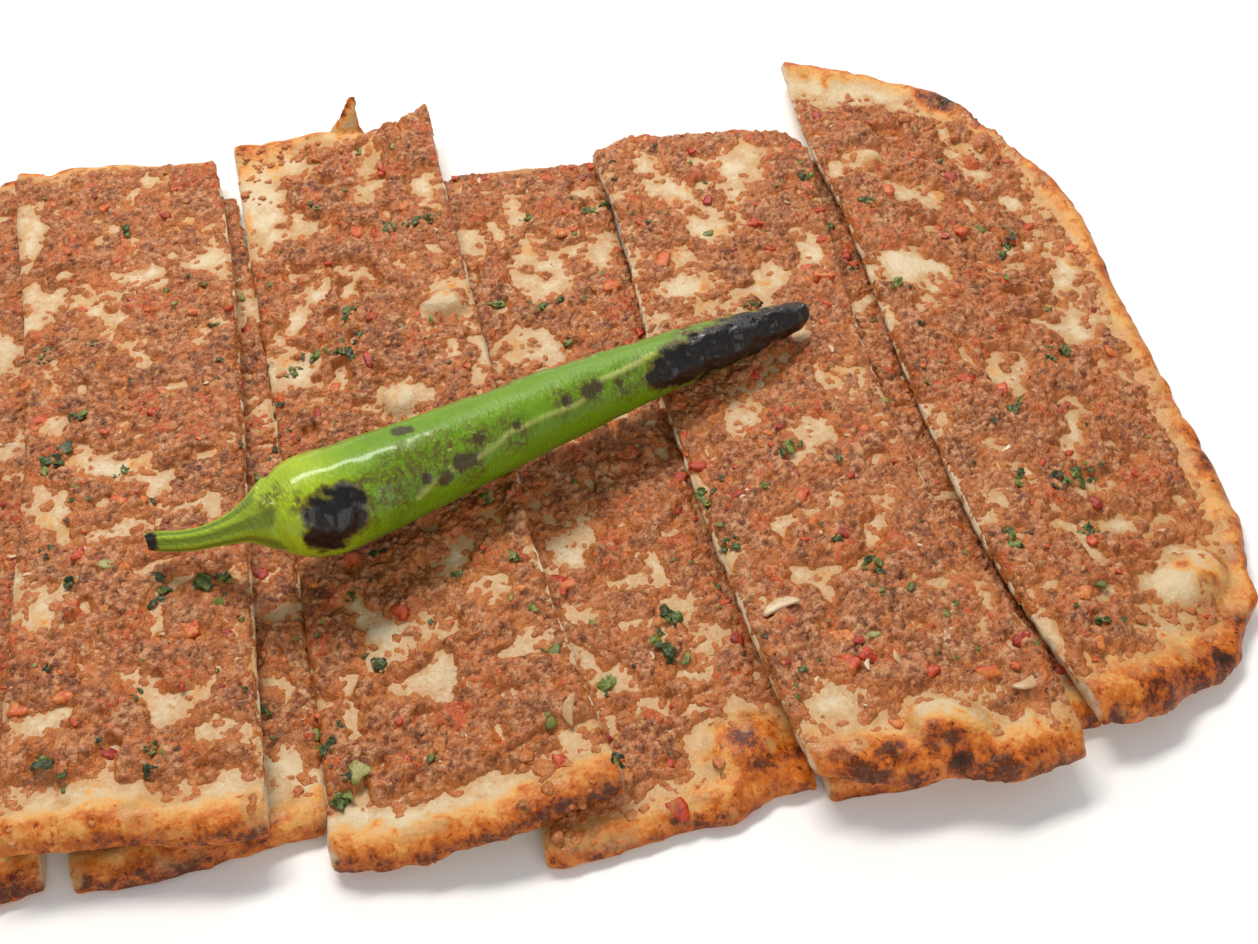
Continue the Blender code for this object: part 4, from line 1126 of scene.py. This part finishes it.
def pepperFinish():
    look = pepperLook
    finish = Finish("grilledPepper", Coat_Weight=0.4, Coat_Roughness=0.14, Specular_IOR_Level=0.3)
    # Green, deeper in patches and paler near the cap
    colour = finish.ramp(finish.value("paleness"), (0.0, look["deep"]), (0.35, look["body"]),
                         (1.0, look["shoulder"]))
    patchy = finish.span(finish.noise(9, 4, 0.6), 0.3, 0.7, 0.0, 0.35)
    colour = finish.mix(patchy, colour, look["deep"])
    # Painted light and shade on the stem and cap: paler on the crests of the ribs, darker in the grooves
    ribsPaintedLitAndShaded = finish.mix(finish.span(finish.value("ridge"), 0.2, 0.9), look["stem"], look["cap"])
    colour = finish.mix(finish.value("stem"), colour, ribsPaintedLitAndShaded)
    # Brown scuffs, pale threads and seams, and spots
    scuff = finish.span(finish.noise(1.9, 5, 0.8, 0.8), 0.42, 0.58)
    scuff = finish.times(finish.times(finish.value("marks"), scuff), 0.9)
    colour = finish.mix(scuff, colour, look["mark"])
    thread = finish.span(finish.noise(3.0, 4, 0.7, 1.4, 3.0), 0.6, 0.68)
    thread = finish.math("MAXIMUM", finish.times(finish.value("marks"), thread), finish.value("seams"))
    colour = finish.mix(finish.times(thread, 0.6), colour, look["seamLight"])
    spotted = finish.span(finish.noise(0.9, 4, 0.7), 0.3, 0.7, -0.25, 0.2)
    spotted = finish.span(finish.add(finish.value("spots"), spotted), 0.25, 0.75)
    colour = finish.mix(finish.times(spotted, 0.9), colour, look["spot"])
    # Char with a singed edge, and ash on it at the tip
    charred = finish.span(finish.noise(1.8, 4), 0.3, 0.7, -0.12, 0.12)
    charred = finish.add(finish.value("char"), charred)
    colour = finish.mix(finish.times(finish.span(charred, 0.15, 0.45), 0.8), colour, look["singed"])
    burnt = finish.span(charred, 0.42, 0.62)
    ashen = finish.span(finish.noise(2.5, 5, 0.7, 0.0, 5.0), 0.6, 0.75)
    black = finish.mix(finish.times(ashen, finish.value("ash")), look["black"], look["ash"])
    finish.colour(finish.mix(burnt, colour, black))
    rough = finish.span(finish.noise(2.0, 3), 0.3, 0.7, 0.26, 0.44)
    finish.rough(finish.math("SUBTRACT", rough, finish.times(burnt, 0.04)))
    # Fine creases that run along the skin
    creases = finish.tree.nodes.new("ShaderNodeTexNoise")
    creases.inputs["Scale"].default_value = 1.0
    creases.inputs["Detail"].default_value = 3.0
    skin = finish.tree.nodes.new("ShaderNodeAttribute")
    skin.attribute_name = "skin"
    finish.link(skin.outputs["Vector"], creases.inputs["Vector"])
    finish.bump((creases.outputs["Fac"], 0.7), (finish.noise(1.6, 4, 0.7), 0.3))
    return finish.material


def makePepper():
    look = pepperLook
    stations, centres, angles, spokes, radii = pepperRadii()
    along, around = np.meshgrid(stations, angles, indexing="ij")
    # Ribs on the stem and the cap, the cap's edge and the groove beside it
    isStem = 1 - ease(along, look["stemReach"] - 2, look["stemReach"] + 4)
    ridge = 0.5 + 0.5 * np.cos(look["ridges"] * around + 0.03 * along)
    ribbed = look["stemRidge"] * isStem + look["capRidge"] * (1 - isStem) * (along < look["capEdge"])
    radii *= 1 + ribbed * (ridge - 0.5)
    edge = look["capEdge"] + 1.4 * np.cos(5 * around + 0.6) + 0.8 * np.cos(3 * around)
    radii += look["capLip"] * (1 - ease(along, edge - 0.6, edge + 0.5)) * ease(along, edge - 7, edge - 1)
    radii -= look["capGroove"] * np.exp(-((along - edge - 1.2) / 1.0) ** 2)
    # Lobes along the fruit, and the rounded tip
    fruit = ease(along, look["capEdge"], look["capEdge"] + 14)
    lobes = (0.5 + 0.5 * np.cos(look["lobes"] * around + 0.8)) ** 3
    radii -= look["lobeDepth"] * radii * fruit * lobes
    last = stations[-1] - along
    radii *= np.sqrt(1 - (1 - np.clip(last / look["tipLength"], 0, 1)) ** 2 * 0.8)
    points = centres[:, None] + spokes[None] * radii[..., None]
    shape = points.shape[:2]
    points = points.reshape(-1, 3)
    outward = np.broadcast_to(spokes[None], (*shape, 3)).reshape(-1, 3)
    tree = nodeTree("pepper")
    char = chainShare(points, look["char"], tree, 201)
    marks = chainShare(points, look["marks"], tree, 202)
    spots = chainShare(points, look["spots"], tree, 210, 0.2)
    # The side away from the photo is blistered in the same way
    fruit = fruit.ravel()
    behind = ease(outward[:, 1], 0.15, 0.6) * fruit
    marks = np.maximum(marks, behind * ease(uneven(points, 15, 212), 0.0, 0.6))
    spots = np.maximum(spots, behind * ease(uneven(points, 8, 213), 0.55, 0.8))
    seams = np.zeros(len(points))
    for line in look["seams"]:
        dense = [(*place, look["seamReach"]) for place in drawnOut(line)]
        seams = np.maximum(seams, chainShare(points, dense, tree, 211, 0.1))
    bumps = sum(layer * fruit for layer in layers(points, look["skinWaves"], (203, 204)))
    bumps += marks * sum(layers(points, look["markWaves"], (205, 206)))
    bumps += look["seamRise"] * seams - look["spotDip"] * ease(spots, 0.2, 0.8)
    burnt = sum(layers(points, look["charWaves"], (207, 208))) - look["charDip"]
    bumps += ease(char, 0.4, 0.7) * burnt
    points = points + outward * bumps[:, None]
    index = np.arange(len(points)).reshape(shape)
    following = np.roll(index, -1, axis=1)
    faces = np.stack((index[:-1], following[:-1], following[1:], index[1:]), axis=-1)
    faces = faces.reshape(-1, 4).tolist() + [index[0].tolist(), index[-1][::-1].tolist()]
    values = {
        "char": char,
        "marks": marks,
        "spots": spots,
        "seams": seams,
        "stem": (1 - ease(along, edge - 0.5, edge + 0.8)).ravel(),
        # ridge also tells the finish where to paint the ribs lit and shaded
        "ridge": ridge.ravel(),
        "paleness": (1 - 0.75 * ease(along, look["capEdge"] + 6, look["capEdge"] + 30)).ravel(),
        "ash": ease(along, stations[-1] - 9, stations[-1] - 2).ravel() + 0.1,
    }
    piece = newPiece("grilledPepper", points, faces, pepperFinish(), ("pepper",), values)
    skin = piece.data.attributes.new("skin", "FLOAT_VECTOR", "POINT")
    skinPlaces = np.stack((along / 0.9, np.sin(around) * 3.0, np.cos(around) * 3.0), axis=-1)
    skin.data.foreach_set("vector", skinPlaces.astype(np.float32).ravel())
    print(f"pepper: {len(piece.data.polygons)} faces")


makePepper()

# "seen" holds the bits that stand out in the photo: (pixel across, pixel down, length). "strewn" is
# how many more lie in the meat of all the slices, and "size" their shortest and longest. "main" is
# the share of its length that a seen bit keeps, with "scraps" smaller ones round it where it is
# longer than "scrapsFrom". "sunk" is the share of its length that a bit is pressed in.
toppingLook = {
    "parsley": {
        "seen": (
            (125, 228, 4), (166, 291, 3), (211, 326, 4), (42, 358, 5), (81, 418, 5), (54, 460, 8),
            (125, 471, 4), (91, 343, 3), (71, 501, 3), (51, 548, 3), (69, 583, 5), (161, 594, 8),
            (206, 583, 7), (228, 578, 6), (153, 501, 3), (241, 618, 3), (47, 668, 3), (141, 691, 3),
            (217, 671, 3), (100, 739, 3), (154, 747, 4), (47, 768, 8), (148, 769, 4), (64, 789, 3),
            (257, 477, 3), (262, 708, 6), (316, 209, 4), (386, 228, 5), (418, 219, 6), (430, 217, 5),
            (358, 150, 4), (393, 180, 3), (271, 284, 3), (350, 311, 5), (347, 352, 6), (354, 343, 5),
            (316, 357, 6), (293, 373, 5), (269, 366, 3), (484, 498, 5), (351, 593, 4), (379, 666, 6),
            (431, 622, 3), (461, 574, 4), (512, 556, 4), (345, 792, 6), (341, 803, 6), (330, 745, 6),
            (376, 554, 4), (528, 220, 4), (591, 212, 6), (608, 205, 5), (495, 304, 7), (542, 306, 4),
            (561, 299, 4), (585, 298, 3), (569, 342, 4), (667, 612, 6), (675, 619, 6), (655, 642, 6),
            (669, 650, 6), (604, 687, 6), (615, 758, 5), (717, 587, 3), (804, 177, 6), (781, 181, 3),
            (705, 182, 3), (754, 305, 5), (768, 231, 3), (830, 226, 5), (789, 447, 6), (764, 483, 4),
            (703, 497, 5), (707, 505, 4), (735, 547, 5), (870, 562, 6), (829, 620, 3), (955, 604, 3),
            (955, 657, 3), (978, 650, 3), (1037, 644, 3), (883, 596, 3), (866, 203, 5), (898, 282, 5),
            (1000, 255, 6), (1010, 247, 5), (945, 201, 3), (940, 161, 3), (1010, 238, 4), (921, 322, 3),
            (1064, 350, 6), (1047, 359, 4), (1013, 410, 5), (1020, 475, 4), (1061, 482, 6),
            (1073, 475, 6), (1091, 469, 5), (1011, 536, 5), (1015, 546, 5), (1088, 531, 5),
            (1104, 620, 5), (1089, 425, 3), (1077, 605, 3)),
        "strewn": 140, "size": (1.2, 3.0), "main": 0.75, "scraps": 3, "scrapsFrom": 3.5, "sunk": 0.04,
        "finish": "parsleyLeaf", "patch": 1.0, "rough": 0.36, "bump": 0.35, "seed": 301,
        "colours": ((0.0, (34, 42, 8)), (0.5, (66, 84, 20)), (1.0, (118, 130, 50))),
    },
    "greenBits": {
        "seen": (
            (106, 565, 4), (554, 652, 4.5), (550, 720, 4), (358, 770, 5), (242, 298, 3), (707, 234, 4),
            (873, 634, 4), (910, 587, 3), (978, 228, 4), (1098, 583, 4), (316, 735, 3)),
        "strewn": 40, "size": (1.4, 3.0), "sunk": 0.04,
        "finish": "greenPepperBit", "patch": 2.0, "rough": 0.4, "bump": 0.3, "seed": 302,
        "colours": ((0.0, (84, 92, 34)), (0.6, (118, 120, 46)), (1.0, (154, 148, 84))),
    },
    "tomato": {
        "seen": (
            (194, 311, 4), (154, 411, 4), (42, 420, 5), (165, 215, 4), (119, 499, 4), (141, 498, 4),
            (191, 630, 5), (228, 633, 4), (63, 697, 4), (18, 710, 4), (106, 752, 5), (357, 233, 4),
            (376, 233, 5), (368, 357, 5), (335, 390, 5), (317, 414, 4), (401, 608, 6), (311, 581, 4),
            (562, 765, 5), (260, 573, 5), (613, 285, 5), (567, 210, 4), (738, 637, 4), (569, 583, 5),
            (678, 809, 5.5), (757, 221, 5), (708, 199, 4), (662, 260, 7), (821, 239, 4), (825, 273, 6),
            (738, 493, 4), (800, 494, 5), (698, 464, 5), (680, 476, 4), (843, 636, 6), (848, 661, 5),
            (870, 655, 5), (896, 722, 5), (990, 671, 5), (931, 671, 4), (1022, 638, 4), (1064, 667, 6),
            (885, 188, 6), (951, 177, 5), (959, 229, 5), (993, 268, 4), (1068, 247, 5), (1029, 226, 4),
            (1002, 388, 4), (967, 377, 5), (1041, 462, 4), (1093, 539, 4), (1067, 453, 4), (1083, 592, 5),
            (846, 255, 4)),
        "strewn": 230, "size": (1.8, 4.2), "sunk": 0.1,
        "finish": "tomatoBit", "patch": 1.8, "rough": 0.32, "bump": 0.4, "seed": 303,
        "colours": ((0.0, (140, 34, 10)), (0.4, (184, 56, 18)), (0.7, (196, 86, 30)),
                    (1.0, (202, 122, 50))),
    },
    "crumbs": {
        "seen": (
            (556, 833, 5), (570, 822, 4), (640, 790, 6), (632, 815, 3), (600, 803, 3), (720, 762, 4),
            (700, 700, 4), (765, 685, 5), (545, 770, 6), (525, 757, 4), (12, 842, 3), (92, 822, 2),
            (905, 118, 5), (848, 98, 5), (955, 137, 4), (928, 128, 4), (980, 150, 3), (262, 150, 3),
            (285, 146, 3), (272, 165, 4), (300, 158, 4), (252, 178, 3), (290, 178, 4), (246, 158, 3),
            (259, 168, 3), (280, 156, 3), (268, 182, 3), (246, 195, 4), (262, 198, 3), (308, 146, 3),
            (316, 158, 4), (334, 150, 4), (322, 170, 3), (940, 168, 3), (1075, 250, 4), (1095, 372, 4),
            (1190, 610, 4), (1165, 612, 5), (1140, 618, 4), (1210, 640, 3), (305, 780, 5), (440, 745, 4),
            (400, 810, 4)),
        "strewn": 60, "size": (1.5, 3.0), "main": 0.95, "scraps": 3, "scrapsFrom": 2.5, "sunk": 0.06,
        "thin": 1.0, "leastTone": 0.4, "seed": 305,
    },
    "onion": {
        "seen": (
            (573, 709, 8), (782, 608, 10), (951, 638, 7), (900, 658, 5), (1025, 680, 8), (819, 678, 4),
            (1002, 451, 6), (8, 447, 7)),
        "strewn": 60, "size": (1.8, 4.0), "sunk": 0.02,
        "finish": "onionSliver", "patch": 3.0, "rough": 0.28, "bump": 0.2, "seed": 304,
        "colours": ((0.1, (186, 146, 106)), (0.6, (204, 176, 140)), (1.0, (216, 198, 168))),
    },
}


def roundedBlock(cells, corner):
    # A cube with rounded corners, as points from -1 to 1 and four-sided faces
    line = np.linspace(-1, 1, cells + 1)
    found, points, faces = {}, [], []
    for axis, sign in ((axis, sign) for axis in range(3) for sign in (-1, 1)):
        names = np.empty((cells + 1, cells + 1), int)
        for row, column in np.ndindex(names.shape):
            place = np.insert(np.array((line[row], line[column])), axis, sign)
            key = tuple(np.round(place, 6))
            if key not in found:
                found[key] = len(points)
                points.append(place / np.linalg.norm(place, ord=corner))
            names[row, column] = found[key]
        for row, column in np.ndindex(cells, cells):
            around = ((0, 0), (1, 0), (1, 1), (0, 1))
            face = [names[row + stepRow, column + stepColumn] for stepRow, stepColumn in around]
            faces.append(face if sign * (-1) ** axis > 0 else face[::-1])
    return np.array(points), faces


plainBlock, fineBlock = roundedBlock(3, 4), roundedBlock(4, 4)
longBit = 2.2


def blockFor(length):
    # Fewer faces on the smallest bits
    return fineBlock if length > longBit else plainBlock


def chunk(length, draw):
    # A bit of chopped tomato or pepper, mostly sunk in
    points, faces = blockFor(length)
    size = length * np.array((0.5, draw.uniform(0.28, 0.42), draw.uniform(0.14, 0.22)))
    points = points.copy()
    points[:, 1] *= 1 + draw.uniform(-0.4, 0.4) * points[:, 0]
    points[:, 0] += draw.uniform(-0.3, 0.3) * points[:, 1]
    points *= size
    shift = 50 * draw.random(3)
    bend = uneven(points + shift, length * 0.5, 31) + 0.6 * uneven(points + shift, length * 0.22, 33)
    return points * (1 + 0.32 * bend[:, None]), faces


def crumb(length, draw):
    # An uneven crumb of meat
    points, faces = blockFor(length)
    shift = 50 * draw.random(3)
    size = length * np.array((0.46, draw.uniform(0.28, 0.4), 0.2))
    bend = uneven(points + shift, 0.9, 36) + 0.5 * uneven(points + shift, 0.45, 37)
    return points * size * (1 + 0.3 * bend[:, None]), faces


def sliver(length, draw):
    # A thin curved strip of onion
    points, faces = blockFor(length)
    size = length * np.array((0.5, draw.uniform(0.14, 0.22), 0.06))
    along = points[:, 0]
    points = points * size
    points[:, 1] = points[:, 1] * (1 - 0.6 * along**2) + 0.35 * size[0] * (1 - along**2)
    shift = 50 * draw.random(3)
    points[:, 2] += 0.06 * length * uneven(points + shift, length * 0.4, 34)
    return points, faces


def leaf(length, draw):
    # A crumpled scrap of parsley, thin and lobed
    rings, sectors, thickness = np.array((0.0, 0.4, 0.75, 1.0)), 12, 0.12
    angles = np.linspace(0, math.tau, sectors, endpoint=False)
    lobes = 1 + 0.15 * np.cos(3 * angles + draw.uniform(0, 6)) + draw.uniform(-0.38, 0.38, sectors)
    reach = rings[:, None] * lobes[None] * length / 2
    x, y = reach * np.cos(angles), reach * np.sin(angles) * draw.uniform(0.5, 0.85)
    shift = 50 * draw.random(3)
    places = flat(x, y) + shift
    z = 0.26 * length * uneven(places, length * 0.35, 32)
    z += 0.16 * length * uneven(places, length * 0.17, 35)
    z += 0.14 * length
    upper = np.stack((x, y, z), axis=-1).reshape(-1, 3)
    count = len(upper)
    points = np.concatenate((upper, upper - (0, 0, thickness)))
    index = np.arange(count).reshape(len(rings), sectors)
    faces = []
    for ring, sector in np.ndindex(len(rings) - 1, sectors):
        after = (sector + 1) % sectors
        face = [index[ring, sector], index[ring + 1, sector], index[ring + 1, after], index[ring, after]]
        if ring == 0:
            face = [index[0, 0], face[1], face[2]]
        faces.append(face)
        faces.append([corner + count for corner in face[::-1]])
        if ring == len(rings) - 2:
            faces.append([face[1], face[1] + count, face[2] + count, face[2]])
    return points, faces


def strewnSpots(count, draw):
    # Places in the meat that nothing covers
    leastShare = 0.8  # how far inside the meat's edge they lie at least
    pepper = nodeTree("pepper")
    numbers = list(plans)
    spots = []
    while len(spots) < count:
        plan = plans[numbers[draw.integers(len(numbers))]]
        row, column = draw.integers(plan.x.shape[0]), draw.integers(plan.x.shape[1])
        if plan.covered[row, column] or not plan.onBread[row, column]:
            continue
        if plan.share[row, column] < leastShare:
            continue
        place = np.array((plan.x[row, column], plan.y[row, column], plan.surface[row, column]))
        if pepper.ray_cast(Vector((place[0], place[1], highUp)), down)[0] is None:
            spots.append(place)
    return spots


def scrapsRound(spot, length, look, trees, draw):
    # Smaller bits strewn round a large one, on top of whatever lies there
    scraps = []
    for _ in range(look["scraps"]):
        place = spot + draw.normal(0, 0.3 * length + look.get("thin", 0), 3) * (1, 1, 0)
        hits = [tree.ray_cast(Vector((place[0], place[1], highUp)), down)[0] for tree in trees]
        heights = [hit.z for hit in hits if hit is not None]
        if heights:
            place = np.array((place[0], place[1], max(heights)))
            scraps.append((place, length * draw.uniform(0.35, 0.6)))
    return scraps


def makeToppings(name, shape, material):
    look = toppingLook[name]
    draw = np.random.default_rng(look["seed"])
    trees = [tree for plan in plans.values() for tree in plan.trees]
    bits = []
    for pixelX, pixelY, length in look["seen"]:
        spot = spotOnPhoto(pixelX, pixelY, trees)
        if spot is None:
            continue
        bits.append((spot, length * look.get("main", 1)))
        if length > look.get("scrapsFrom", math.inf):
            bits += scrapsRound(spot, length, look, trees, draw)
    shortest, longest = look["size"]
    for spot in strewnSpots(look["strewn"], draw):
        bits.append((spot, shortest + (longest - shortest) * draw.random() ** 2))
    leastTone = look.get("leastTone", 0.0)
    allPoints, allFaces, tones, first = [], [], [], 0
    for spot, length in bits:
        points, faces = shape(length, draw)
        turn = Matrix.Rotation(draw.uniform(0, math.tau), 3, "Z")
        tiltX = Matrix.Rotation(draw.uniform(-0.3, 0.3), 3, "X")
        tiltY = Matrix.Rotation(draw.uniform(-0.3, 0.3), 3, "Y")
        turned = np.array(tiltX @ tiltY @ turn)
        allPoints.append(points @ turned.T + spot - (0, 0, look["sunk"] * length))
        allFaces += [[corner + first for corner in face] for face in faces]
        tones.append(np.full(len(points), leastTone + draw.random() * (1 - leastTone)))
        first += len(points)
    tones = np.concatenate(tones)
    values = {"tone": tones, "thin": np.full(len(tones), look.get("thin", 0.0))}
    piece = newPiece(name, np.concatenate(allPoints), allFaces, material, (), values)
    print(f"{name}: {len(bits)} bits, {len(piece.data.polygons)} faces")


def bitFinish(look):
    finish = Finish(look["finish"])
    mottled = finish.span(finish.noise(look["patch"], 3), 0.3, 0.7, -0.3, 0.3)
    finish.colour(finish.ramp(finish.add(finish.value("tone"), mottled), *look["colours"]))
    finish.rough(look["rough"])
    finish.bump((finish.noise(0.8, 4, 0.6), look["bump"]))
    return finish.material


for name, shape in (("parsley", leaf), ("greenBits", chunk), ("tomato", chunk), ("onion", sliver)):
    makeToppings(name, shape, bitFinish(toppingLook[name]))
makeToppings("crumbs", crumb, meatMaterial)
